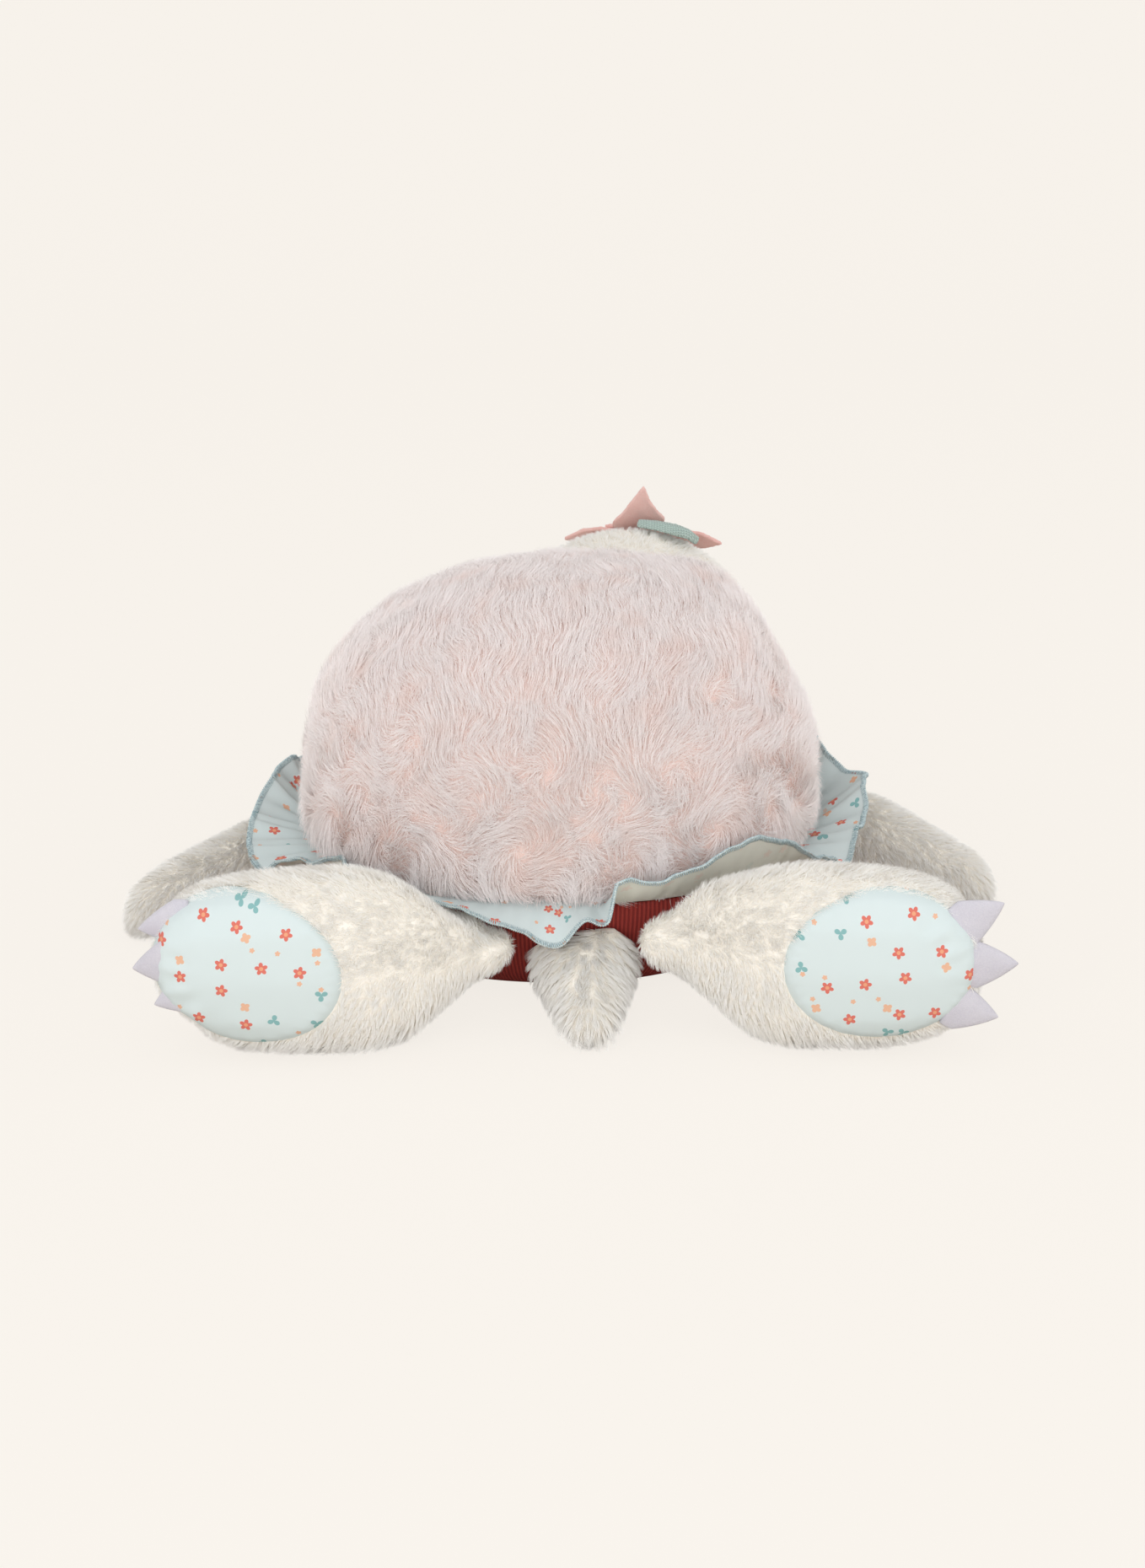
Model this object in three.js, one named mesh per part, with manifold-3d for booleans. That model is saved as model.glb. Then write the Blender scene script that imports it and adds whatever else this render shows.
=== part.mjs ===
// A stuffed plush turtle that lies on its belly, seen in the photograph from behind.
// Units are millimetres, +Z is up, the head looks towards +Y and the tail points towards -Y.
// The origin is the middle of the flat patch of the belly on which the turtle rests.
import * as THREE from "three";
import { mergeVertices } from "three/addons/utils/BufferGeometryUtils.js";
import Module from "manifold-3d";

const wasm = await Module();
wasm.setup();

// Cloths: how far each one stands off the stuffing, pile included
const SHELL_PILE = 14;
const PLUSH_PILE = 6;
const BELLY_CLOTH = 3;
const FRILL_CLOTH = 2;
const SOLE_CLOTH = 2.5;
const FELT = 2.4;

// Clearances: sewn pieces meet with the first, the limbs clear the floor by the second, and the
// stuffing of the limbs stays below the frill by the third
const SEAM_GAP = 0.3;
const FLOOR_GAP = 0.4;
const FILLING_EASE = 2;

// Body: the domed back above a seam, and the belly dish below it
const SHELL_HALF_WIDTH = 138;
const SHELL_HALF_LENGTH = 130;
const WIDEST_HEIGHT = 84;
const DOME_RISE = 114;
const CROWN_SHIFT = 10;
const PILE_RELIEF = 3;
const LOCK_TURN_DEGREES = 137;
const LOCK_ROW_DEGREES = 109;
const SEAM_HEIGHT = 56;
const SEAM_TUCK = 10;
const BELLY_REST_SHARE = 0.66;
// Roundness: an outline of share 1 is an ellipse, and more is squarer
const PLAN_ROUNDNESS_SHARE = 1.075;
const DOME_ROUNDNESS_SHARE = 1.2;
const BODY_SIDES = 28;

// Frill: a gathered strip caught in the seam, open at the front where the neck comes out
const FRILL_WIDTH = 36;
const FRILL_FLANGE = 6;
const FRILL_FOLD = 7;
const FRILL_SWING = 2.5;
const FRILL_FOLDS = 14;
const FRILL_STEPS_PER_FOLD = 6;
const FRILL_OPENING_DEGREES = 62;
const FRILL_ROWS_SHARES = [0, 0.22, 0.6, 1];
// How far the edge stands above the seam and out from it, as shares of the frill's width, round the
// body from one end of the strip to the other: over the right legs, past the tail, over the left legs.
const FRILL_RISE_SHARES = [0.08, 0.56, 0.66, 0.28, 0.6, 0.64, -0.24, 0, 0.24, 0.12, 0.4, 0.48, 0.08];
const FRILL_REACH_SHARES = [0.7, 0.72, 0.92, 0.9, 0.66, 0.66, 0.76, 0.78, 0.78, 0.88, 0.94, 0.74, 0.7];

// Hind legs: fat drops that lie on the floor, pointed at the body and broad at the foot
const HIND_LENGTH_LEFT = 175;
const HIND_LENGTH_RIGHT = 160;
const HIND_HALF_HEIGHT = 46;
const HIND_HALF_DEPTH = 34;
const HIND_SPREAD_SHARE = 0.2734375;
const HIND_ROOT_DEPTH = 10;
const HIND_PATH_SHARES = [[0, 0], [0.244, 0.21], [0.483, 0.33], [0.738, 0.36], [1, 0.33]];
const HIND_STATION_SHARES = [0, 0.035, 0.1, 0.24, 0.38, 0.5, 0.63, 0.76, 0.87, 0.94, 0.985, 1];
const HIND_HEIGHT_SHARES = [0, 0.24, 0.4, 0.66, 0.88, 0.99, 1, 0.96, 0.85, 0.68, 0.4, 0];
const HIND_DEPTH_SHARES = [0, 0.24, 0.44, 0.72, 0.9, 1, 1, 1, 0.97, 0.88, 0.6, 0];
const HIND_ROUNDNESS_SHARE = 1.25;

// Soles: oval panels of printed cotton at the back of the hind feet
const SOLE_HALF_WIDTH = 48;
const SOLE_HALF_HEIGHT = 38;
const SOLE_PLACE_LEFT_SHARE = 0.745;
const SOLE_PLACE_RIGHT_SHARE = 0.7;
const SOLE_LEAN_DEGREES = 8;
const SOLE_TURN_DEGREES = 4;
const SOLE_ROLL_DEGREES = 8;

// Claws: three padded felt triangles in the seam round the outer end of each sole
const CLAW_WIDTH = 19.5;
const CLAW_LENGTH = 20;
const CLAW_ROOT = 14;
const CLAW_SET_BACK = 9;
const CLAW_TUCK_LEFT = 7;
const CLAW_ANGLES_DEGREES = [20, -9, -38];
const CLAW_ROOT_SHARE = 0.25;
const CLAW_FLANK_SHARE = 0.43;

// Front legs: flat flippers that taper down to the floor
const FRONT_LENGTH = 175;
const FRONT_SHIFT = 5;
const FRONT_HALF_HEIGHT = 28;
const FRONT_HALF_WIDTH = 29;
const FRONT_ROOT_ANGLE_DEGREES = 49;
const FRONT_ROOT_DEPTH = 26;
const FRONT_PATH_SHARES = [[0, 0], [0.3, 0.1], [0.58, 0.26], [0.8, 0.42], [0.93, 0.56]];
const FRONT_SWEEP_RIGHT_SHARE = 0.5;
const FRONT_TIP_SHARE = 0.4;
const FRONT_SWELL_SHARES = [0, 0.62, 0.88, 1, 0.98, 0.88, 0.76, 0.66, 0.54, 0.36, 0];
const FRONT_STATION_SHARES = [0, 0.04, 0.1, 0.24, 0.4, 0.56, 0.7, 0.82, 0.92, 0.97, 1];
const FRONT_ROUNDNESS_SHARE = 1.1;

// Tail: a soft cone under the back of the frill
const TAIL_LENGTH = 76;
const TAIL_HALF_WIDTH = 29;
const TAIL_HALF_HEIGHT = 25;
const TAIL_ROOT_DEPTH = 14;
const TAIL_SHIFT = 13;
const TAIL_SWAY = 4;
const TAIL_TIP_SHARE = 0.36;
const TAIL_SWELL_SHARES = [0, 0.8, 0.97, 1, 0.88, 0.73, 0.57, 0.45, 0.33, 0];
const TAIL_STATION_SHARES = [0, 0.02, 0.08, 0.2, 0.38, 0.56, 0.74, 0.88, 0.96, 1];
const TAIL_ROUNDNESS_SHARE = 1;

// Head: a broad egg on a short neck that is sewn to the front of the body
const HEAD_HALF_WIDTH = 78;
const HEAD_HALF_LENGTH = 68;
const HEAD_HALF_HEIGHT = 66;
const HEAD_SHIFT = 42;
const HEAD_REACH = 58;
const HEAD_HEIGHT = 107;
const NECK_RADIUS = 44;
const NECK_HEIGHT = 74;
const NECK_SHIFT = 19;
const NECK_DEPTH = 26;
const NECK_SQUEEZE_SHARE = 0.85;

// Face: stitched eyes and a stitched mouth line
const EYE_HALF_WIDTH = 6.5;
const EYE_HALF_HEIGHT = 8;
const EYE_BULGE = 2.5;
const EYE_SIDE_DEGREES = 34;
const EYE_RISE_DEGREES = 10;
const MOUTH_HALF_WIDTH_DEGREES = 17;
const MOUTH_DROP_DEGREES = 20;
const MOUTH_SAG_DEGREES = 5;
const MOUTH_THREAD = 2;

// Flower and leaf on the crown of the head: two felt layers, a stitched heart and a padded leaf
const PETAL_LENGTH = 46;
const PETAL_HALF_WIDTH = 13;
const PETAL_NECK = 11;
const PETAL_ROOT_SHARE = 0.34;
const PETAL_ANGLES_DEGREES = [92, 180, 240, 300, 0];
// The two handles of each petal's side: how far along it they lie, and how far out
const PETAL_INNER_HANDLE_SHARES = [0.33, 0.75];
const PETAL_OUTER_HANDLE_SHARES = [0.67, 1.15];
const PETAL_BEND = -3;
const PETAL_SWING = 9;
const INNER_PETAL_SHARE = 0.5;
const INNER_PETAL_TURN_DEGREES = 16;
const INNER_PETAL_CUP = 1;
const HEART_RADIUS = 8;
const HEART_HEIGHT = 6;
const FLOWER_SIDE_DEGREES = 7;
const FLOWER_RISE_DEGREES = 50;
const LEAF_LENGTH = 46;
const LEAF_HALF_WIDTH = 12;
const LEAF_THICKNESS = 5;
const LEAF_BEND_RADIUS = 88;
const LEAF_SIDE_DEGREES = 58;
const LEAF_RISE_DEGREES = 71;

const turn = (degrees) => THREE.MathUtils.degToRad(degrees);
const toward = (x, y, z) => new THREE.Vector3(x, y, z);

// Colours are those of the real cloths; every one of them is dull.
const cloth = (hex, roughness) => new THREE.MeshStandardMaterial({ color: hex, roughness, metalness: 0 });
const LONG_PILE = cloth(0xe6d6d3, 0.95);
const CREAM_PLUSH = cloth(0xe4ddd0, 0.95);
const RIB_CLOTH = cloth(0xa03a34, 0.9);
const PRINTED_COTTON = cloth(0xdae5e3, 0.85);
const STUFFING = cloth(0xf2f0ea, 1);
const CLAW_FELT = cloth(0xd6d3db, 0.95);
const PETAL_FELT = cloth(0xe2aaa3, 0.95);
const LEAF_KNIT = cloth(0xb4cbc4, 0.95);
const EYE_THREAD = cloth(0x3a2f2d, 0.6);

// Makes a solid of merged vertices from a triangle list, turned outward if need be.
function solidOf(positions, triangles) {
  const geometry = new THREE.BufferGeometry();
  geometry.setAttribute("position", new THREE.Float32BufferAttribute(positions, 3));
  geometry.setIndex(triangles);
  return solidOfGeometry(geometry);
}

function solidOfGeometry(source) {
  const geometry = source.clone();
  geometry.deleteAttribute("normal");
  geometry.deleteAttribute("uv");
  const merged = mergeVertices(geometry);
  const vertices = merged.attributes.position.array;
  const triangles = new Uint32Array(merged.index.array);
  if (signedVolume(vertices, triangles) < 0) {
    for (let i = 0; i < triangles.length; i += 3) {
      [triangles[i + 1], triangles[i + 2]] = [triangles[i + 2], triangles[i + 1]];
    }
  }
  return new wasm.Manifold(new wasm.Mesh({ numProp: 3, vertProperties: vertices, triVerts: triangles }));
}

function signedVolume(vertices, triangles) {
  const corner = (i) => new THREE.Vector3().fromArray(vertices, triangles[i] * 3);
  let six = 0;
  for (let i = 0; i < triangles.length; i += 3) {
    six += corner(i).dot(corner(i + 1).cross(corner(i + 2)));
  }
  return six / 6;
}

// Skins rows of points into a closed surface: each row is a ring, and a row of one point is a pole.
function skin(rows) {
  const positions = [];
  const triangles = [];
  const starts = rows.map((row) => {
    const start = positions.length / 3;
    row.forEach((point) => positions.push(point.x, point.y, point.z));
    return start;
  });
  for (let r = 0; r + 1 < rows.length; r += 1) {
    const sides = Math.max(rows[r].length, rows[r + 1].length);
    const at = (row, i) => starts[row] + (rows[row].length === 1 ? 0 : i % sides);
    for (let i = 0; i < sides; i += 1) {
      if (rows[r].length > 1) triangles.push(at(r, i), at(r, i + 1), at(r + 1, i));
      if (rows[r + 1].length > 1) triangles.push(at(r, i + 1), at(r + 1, i + 1), at(r + 1, i));
    }
  }
  return solidOf(positions, triangles);
}

// A point of a closed rounded outline, whose roundness is a share of an ellipse's.
function outlinePoint(halfWidth, halfLength, angle, roundnessShare) {
  const bend = (value) => Math.sign(value) * Math.abs(value) ** (1 / roundnessShare);
  return new THREE.Vector2(halfWidth * bend(Math.cos(angle)), halfLength * bend(Math.sin(angle)));
}

const QUARTER = Math.PI / 2;
const PILE_ROWS = 7;
const TUCK_ROWS = 2;
const BELLY_ROWS = 5;

const seamHalfWidth = SHELL_HALF_WIDTH - SEAM_TUCK;
const seamHalfLength = SHELL_HALF_LENGTH - SEAM_TUCK;
const shellRimHeight = SEAM_HEIGHT + FRILL_CLOTH / 2 + SEAM_GAP;
const bellyRimHeight = SEAM_HEIGHT - FRILL_CLOTH / 2 - SEAM_GAP;

function planRing(halfWidth, halfLength, height, sides) {
  const ring = [];
  for (let i = 0; i < sides; i += 1) {
    const flat = outlinePoint(halfWidth, halfLength, (i / sides) * 2 * Math.PI, PLAN_ROUNDNESS_SHARE);
    ring.push(toward(flat.x, flat.y, height));
  }
  return ring;
}

// Rows of the dome from its crown down to the seam, drawn in everywhere by an inset. The crown lies off the
// middle, and the relief is how far the locks of the pile stand out and part between the crown and the sides.
function domeRows(inset, rimHeight, sides, relief) {
  const width = SHELL_HALF_WIDTH - inset;
  const length = SHELL_HALF_LENGTH - inset;
  const rows = [[toward(CROWN_SHIFT, 0, WIDEST_HEIGHT + DOME_RISE - inset)]];
  for (let i = 1; i <= PILE_ROWS; i += 1) {
    const angle = (i / PILE_ROWS) * QUARTER;
    const spread = Math.sin(angle) ** (1 / DOME_ROUNDNESS_SHARE);
    const rise = i === PILE_ROWS ? 0 : Math.cos(angle) ** (1 / DOME_ROUNDNESS_SHARE);
    const lock = (relief * Math.sin(2 * angle)) / SHELL_HALF_WIDTH;
    const ring = planRing(width * spread, length * spread, rise * (DOME_RISE - inset), sides);
    rows.push(ring.map((spot, k) => {
      const stand = 1 + lock * Math.sin(turn(LOCK_TURN_DEGREES * k + LOCK_ROW_DEGREES * i));
      return spot.multiplyScalar(stand).add(toward(CROWN_SHIFT * rise ** 3, 0, WIDEST_HEIGHT));
    }));
  }
  for (let i = 1; i <= TUCK_ROWS; i += 1) {
    const angle = (i / TUCK_ROWS) * QUARTER;
    const drawnIn = SEAM_TUCK * (1 - Math.cos(angle));
    const height = WIDEST_HEIGHT - (WIDEST_HEIGHT - rimHeight) * Math.sin(angle);
    rows.push(planRing(width - drawnIn, length - drawnIn, height, sides));
  }
  return rows;
}

// Rows of the belly dish from its rim down to the flat patch, drawn in everywhere by an inset.
function bellyRows(inset, rimHeight, sides) {
  const width = seamHalfWidth - inset;
  const length = seamHalfLength - inset;
  const rows = [];
  for (let i = 0; i <= BELLY_ROWS; i += 1) {
    const angle = (i / BELLY_ROWS) * QUARTER;
    const spread = BELLY_REST_SHARE + (1 - BELLY_REST_SHARE) * Math.cos(angle);
    const height = inset + (rimHeight - inset) * (1 - Math.sin(angle));
    rows.push(planRing(width * spread, length * spread, i === BELLY_ROWS ? inset : height, sides));
  }
  rows.push([toward(0, 0, inset)]);
  return rows;
}

function makeShell() {
  const outer = domeRows(0, shellRimHeight, BODY_SIDES, PILE_RELIEF);
  const inner = domeRows(SHELL_PILE, shellRimHeight, BODY_SIDES, 0);
  return skin([...outer, ...inner.reverse()]);
}

function makeBelly() {
  const outer = bellyRows(0, bellyRimHeight, BODY_SIDES);
  const inner = bellyRows(BELLY_CLOTH, bellyRimHeight, BODY_SIDES);
  return skin([...inner.reverse(), ...outer]);
}

// The stuffing of the body fills both covers and steps in where the flange of the frill ends.
function makeBodyFilling() {
  const upper = domeRows(SHELL_PILE + SEAM_GAP, shellRimHeight, BODY_SIDES, 0);
  const lower = bellyRows(BELLY_CLOTH + SEAM_GAP, bellyRimHeight, BODY_SIDES);
  return skin([...upper, ...lower.slice(1)]);
}

// The whole body as one lump, grown by a clearance: what the limbs are cut by.
function bodyLump(clearance) {
  const upper = domeRows(-clearance, shellRimHeight, BODY_SIDES, PILE_RELIEF);
  const lower = bellyRows(-clearance, bellyRimHeight, BODY_SIDES);
  return skin([...upper, ...lower]);
}

// The frill runs clockwise from the front, past the right side, the tail and the left side.
const frillStart = QUARTER - turn(FRILL_OPENING_DEGREES) / 2;
const frillSweep = 2 * Math.PI - turn(FRILL_OPENING_DEGREES);
const frillSteps = FRILL_FOLDS * FRILL_STEPS_PER_FOLD;

// The smooth value, a share of the way along the strip, of a table of evenly spaced shares.
function eased(tableShares, share) {
  const place = THREE.MathUtils.clamp(share, 0, 1) * (tableShares.length - 1);
  const low = Math.min(Math.floor(place), tableShares.length - 2);
  const blend = (1 - Math.cos((place - low) * Math.PI)) / 2;
  return tableShares[low] * (1 - blend) + tableShares[low + 1] * blend;
}

const frillRise = (share) => FRILL_WIDTH * eased(FRILL_RISE_SHARES, share);
const frillReach = (share) => FRILL_WIDTH * eased(FRILL_REACH_SHARES, share);

// A point of the frill's middle surface: share runs along the seam, out runs from it to the edge.
function frillPoint(share, out) {
  const angle = frillStart - share * frillSweep;
  const fold = Math.sin(share * FRILL_FOLDS * 2 * Math.PI);
  const lean = Math.cos(share * FRILL_FOLDS * 2 * Math.PI);
  const rise = frillRise(share) * out * Math.sqrt(out) + FRILL_FOLD * fold * out;
  const reach = SEAM_GAP + frillReach(share) * out;
  const swing = (FRILL_SWING * lean * out) / seamHalfWidth;
  const [width, length] = [seamHalfWidth + reach, seamHalfLength + reach];
  const flat = outlinePoint(width, length, angle + swing, PLAN_ROUNDNESS_SHARE);
  return toward(flat.x, flat.y, SEAM_HEIGHT + rise);
}

function flangePoint(share) {
  const angle = frillStart - share * frillSweep;
  const flat = outlinePoint(
    seamHalfWidth - FRILL_FLANGE, seamHalfLength - FRILL_FLANGE, angle, PLAN_ROUNDNESS_SHARE);
  return toward(flat.x, flat.y, SEAM_HEIGHT);
}

// The direction square to the frill's surface, measured over a small stretch each way.
function frillNormal(share, out) {
  const step = 1 / (4 * frillSteps);
  const across = frillPoint(share, out + step).sub(frillPoint(share, out - step));
  const forward = frillPoint(share + step, out).sub(frillPoint(share - step, out));
  const normal = forward.cross(across).normalize();
  return normal.z < 0 ? normal.negate() : normal;
}

function makeFrill() {
  const half = FRILL_CLOTH / 2;
  const positions = [];
  const triangles = [];
  const rowLength = 2 * (FRILL_ROWS_SHARES.length + 1);
  for (let i = 0; i <= frillSteps; i += 1) {
    const share = i / frillSteps;
    const upper = [flangePoint(share).add(toward(0, 0, half))];
    const lower = [flangePoint(share).sub(toward(0, 0, half))];
    FRILL_ROWS_SHARES.forEach((out) => {
      const normal = out > 0 ? frillNormal(share, out) : toward(0, 0, 1);
      upper.push(frillPoint(share, out).addScaledVector(normal, half));
      lower.push(frillPoint(share, out).addScaledVector(normal, -half));
    });
    [...upper, ...lower.reverse()].forEach((point) => positions.push(point.x, point.y, point.z));
  }
  const at = (i, j) => i * rowLength + (j % rowLength);
  for (let i = 0; i < frillSteps; i += 1) {
    for (let j = 0; j < rowLength; j += 1) {
      triangles.push(at(i, j), at(i + 1, j), at(i, j + 1), at(i, j + 1), at(i + 1, j), at(i + 1, j + 1));
    }
  }
  for (let j = 0; j < rowLength / 2 - 1; j += 1) {
    const opposite = rowLength - 1 - j;
    triangles.push(at(0, j), at(0, j + 1), at(0, opposite));
    triangles.push(at(0, j + 1), at(0, opposite - 1), at(0, opposite));
    const last = frillSteps;
    triangles.push(at(last, j), at(last, opposite), at(last, j + 1));
    triangles.push(at(last, j + 1), at(last, opposite), at(last, opposite - 1));
  }
  return solidOf(positions, triangles);
}

// The space that the frill takes up, as a disc whose faces follow the folds: limbs keep out of it.
function frillLump(clearance) {
  const sides = 2 * BODY_SIDES;
  const low = [];
  const high = [];
  for (let i = 0; i < sides; i += 1) {
    const angle = frillStart - (i / sides) * 2 * Math.PI;
    const share = Math.min(((i / sides) * 2 * Math.PI) / frillSweep, 1);
    const reach = frillReach(share) + FRILL_SWING + clearance;
    const flat = outlinePoint(seamHalfWidth + reach, seamHalfLength + reach, angle, PLAN_ROUNDNESS_SHARE);
    const rise = frillRise(share);
    const edge = FRILL_FOLD + FRILL_CLOTH / 2 + clearance;
    low.push(toward(flat.x, flat.y, SEAM_HEIGHT + Math.min(rise, 0) - edge));
    high.push(toward(flat.x, flat.y, SEAM_HEIGHT + Math.max(rise, 0) + edge));
  }
  const middle = FRILL_FOLD + FRILL_CLOTH + clearance;
  return skin([
    [toward(0, 0, SEAM_HEIGHT - middle)], low, high, [toward(0, 0, SEAM_HEIGHT + middle)],
  ]);
}

const LIMB_SIDES = 14;
const LIMB_TENSION_SHARE = 0.5;

// A limb follows a curve and swells and tapers along it. Its sections stand square to the floor.
// A limb that tapers on the floor keeps its underside there: its middle sinks as it thins.
// An inset draws the sections in by their share of it, and the ends by the whole of it.
function limbSolid(limb, inset) {
  const curve = new THREE.CatmullRomCurve3(limb.path, false, "catmullrom", LIMB_TENSION_SHARE);
  const length = curve.getLength();
  const last = limb.stations.length - 1;
  const rows = limb.stations.map((station, r) => {
    const share = 1 / 2 + (station - 1 / 2) * (1 - (2 * inset) / length);
    const held = THREE.MathUtils.clamp(share, 0, 1);
    const forward = curve.getTangentAt(held).setZ(0).normalize();
    const aside = toward(forward.y, -forward.x, 0);
    const middle = curve.getPointAt(held).addScaledVector(forward, (share - held) * length);
    const swell = limb.heightShares[r];
    middle.z = limb.halfHeight * (limb.tipShare ? Math.max(swell, limb.tipShare) : 1) + FLOOR_GAP;
    if (r === 0 || r === last) return [middle];
    const ring = [];
    for (let i = 0; i < LIMB_SIDES; i += 1) {
      const wide = (limb.halfWidth - inset) * limb.widthShares[r];
      const angle = (i / LIMB_SIDES) * 2 * Math.PI;
      const flat = outlinePoint(wide, (limb.halfHeight - inset) * swell, angle, limb.roundnessShare);
      ring.push(middle.clone().addScaledVector(aside, flat.x).add(toward(0, 0, flat.y)));
    }
    return ring;
  });
  return skin(rows);
}

function hindLimb(side) {
  const length = side < 0 ? HIND_LENGTH_LEFT : HIND_LENGTH_RIGHT;
  const rootX = TAIL_SHIFT + side * seamHalfWidth * HIND_SPREAD_SHARE;
  const rootY = HIND_ROOT_DEPTH - seamHalfLength;
  return {
    path: HIND_PATH_SHARES.map(([outShare, backShare]) =>
      toward(rootX + side * length * outShare, rootY - length * backShare, 0)),
    stations: HIND_STATION_SHARES,
    heightShares: HIND_HEIGHT_SHARES,
    widthShares: HIND_DEPTH_SHARES,
    halfHeight: HIND_HALF_HEIGHT,
    halfWidth: HIND_HALF_DEPTH,
    roundnessShare: HIND_ROUNDNESS_SHARE,
  };
}

function frontLimb(side) {
  const sweepShare = side < 0 ? 1 : FRONT_SWEEP_RIGHT_SHARE;
  const width = seamHalfWidth - FRONT_ROOT_DEPTH;
  const length = seamHalfLength - FRONT_ROOT_DEPTH;
  const rim = outlinePoint(width, length, turn(FRONT_ROOT_ANGLE_DEGREES), PLAN_ROUNDNESS_SHARE);
  return {
    path: FRONT_PATH_SHARES.map(([outShare, backShare]) =>
      toward(
        FRONT_SHIFT + side * (rim.x + FRONT_LENGTH * outShare),
        rim.y - FRONT_LENGTH * backShare * sweepShare,
        0,
      )),
    stations: FRONT_STATION_SHARES,
    heightShares: FRONT_SWELL_SHARES,
    widthShares: FRONT_SWELL_SHARES,
    halfHeight: FRONT_HALF_HEIGHT,
    halfWidth: FRONT_HALF_WIDTH,
    roundnessShare: FRONT_ROUNDNESS_SHARE,
    tipShare: FRONT_TIP_SHARE,
  };
}

function tailLimb() {
  const rootY = TAIL_ROOT_DEPTH - seamHalfLength;
  return {
    path: [toward(TAIL_SHIFT, rootY, 0), toward(TAIL_SHIFT + TAIL_SWAY, rootY - TAIL_LENGTH, 0)],
    stations: TAIL_STATION_SHARES,
    heightShares: TAIL_SWELL_SHARES,
    widthShares: TAIL_SWELL_SHARES,
    halfHeight: TAIL_HALF_HEIGHT,
    halfWidth: TAIL_HALF_WIDTH,
    roundnessShare: TAIL_ROUNDNESS_SHARE,
    tipShare: TAIL_TIP_SHARE,
  };
}

// A sole faces back, leans up a little, turns out with its foot and rolls its outer end up.
function solePlace(side) {
  const curve = new THREE.CatmullRomCurve3(hindLimb(side).path, false, "catmullrom", LIMB_TENSION_SHARE);
  const middle = curve.getPointAt(side < 0 ? SOLE_PLACE_LEFT_SHARE : SOLE_PLACE_RIGHT_SHARE);
  return new THREE.Matrix4()
    .makeTranslation(middle.x, middle.y, HIND_HALF_HEIGHT + FLOOR_GAP)
    .multiply(new THREE.Matrix4().makeRotationZ(side * turn(SOLE_TURN_DEGREES)))
    .multiply(new THREE.Matrix4().makeRotationX(-turn(SOLE_LEAN_DEGREES)))
    .multiply(new THREE.Matrix4().makeRotationY(-side * turn(SOLE_ROLL_DEGREES)));
}

const SOLE_SEGMENTS = 10;

// An oval block that runs from the middle of the foot out through its back.
function soleBlock(side, grow) {
  const oval = new THREE.Shape();
  oval.absellipse(0, 0, SOLE_HALF_WIDTH + grow, SOLE_HALF_HEIGHT + grow, 0, 2 * Math.PI);
  const block = new THREE.ExtrudeGeometry(oval, {
    depth: 2 * HIND_HALF_DEPTH, bevelEnabled: false, curveSegments: SOLE_SEGMENTS });
  block.rotateX(QUARTER);
  block.applyMatrix4(solePlace(side));
  return solidOfGeometry(block);
}

const CLAW_CURVE_STEPS = 4;

// A felt claw points outward from the rim of its sole, in the plane of the sole.
function makeClaw(side, degrees) {
  const outline = new THREE.Shape();
  outline.moveTo(-CLAW_ROOT, -CLAW_WIDTH * CLAW_ROOT_SHARE);
  outline.lineTo(0, -CLAW_WIDTH / 2);
  outline.quadraticCurveTo(CLAW_LENGTH / 2, -CLAW_WIDTH * CLAW_FLANK_SHARE, CLAW_LENGTH, 0);
  outline.quadraticCurveTo(CLAW_LENGTH / 2, CLAW_WIDTH * CLAW_FLANK_SHARE, 0, CLAW_WIDTH / 2);
  outline.lineTo(-CLAW_ROOT, CLAW_WIDTH * CLAW_ROOT_SHARE);
  const felt = new THREE.ExtrudeGeometry(outline, {
    depth: 2 * FELT, bevelEnabled: false, curveSegments: CLAW_CURVE_STEPS });
  felt.translate(0, 0, -FELT);
  felt.rotateX(QUARTER);
  if (side < 0) felt.rotateZ(Math.PI);
  felt.rotateY(-side * turn(degrees));
  const rim = outlinePoint(SOLE_HALF_WIDTH, SOLE_HALF_HEIGHT, turn(degrees), 1);
  const tuck = side < 0 ? CLAW_TUCK_LEFT : 0;
  felt.translate(side * (rim.x - tuck), CLAW_SET_BACK - HIND_HALF_DEPTH, rim.y);
  felt.applyMatrix4(solePlace(side));
  return solidOfGeometry(felt);
}

// The head is an egg joined to a round neck that runs back into the body.
const headMiddle = toward(HEAD_SHIFT, seamHalfLength + HEAD_REACH, HEAD_HEIGHT);
const neckRoot = toward(NECK_SHIFT, seamHalfLength - NECK_DEPTH, NECK_HEIGHT);
const HEAD_SIDES = 20;
const HEAD_ROWS = 12;
const NECK_SIDES = 14;

function headSolid(inset) {
  const egg = new THREE.SphereGeometry(1, HEAD_SIDES, HEAD_ROWS);
  egg.rotateX(QUARTER);
  egg.scale(HEAD_HALF_WIDTH - inset, HEAD_HALF_LENGTH - inset, HEAD_HALF_HEIGHT - inset);
  egg.translate(headMiddle.x, headMiddle.y, headMiddle.z);
  const run = headMiddle.clone().sub(neckRoot);
  const neck = new THREE.CylinderGeometry(NECK_RADIUS - inset, NECK_RADIUS - inset, run.length(), NECK_SIDES);
  neck.rotateX(QUARTER);
  neck.scale(1, NECK_SQUEEZE_SHARE, 1);
  neck.lookAt(run);
  const middle = headMiddle.clone().add(neckRoot).multiplyScalar(1 / 2);
  neck.translate(middle.x, middle.y, middle.z);
  return solidOfGeometry(egg).add(solidOfGeometry(neck));
}

// The point of the egg whose surface faces a given way.
function headPoint(facing) {
  const halves = toward(HEAD_HALF_WIDTH, HEAD_HALF_LENGTH, HEAD_HALF_HEIGHT);
  const scaled = facing.clone().normalize().multiply(halves);
  return scaled.clone().multiply(halves).multiplyScalar(1 / scaled.length()).add(headMiddle);
}

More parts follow.
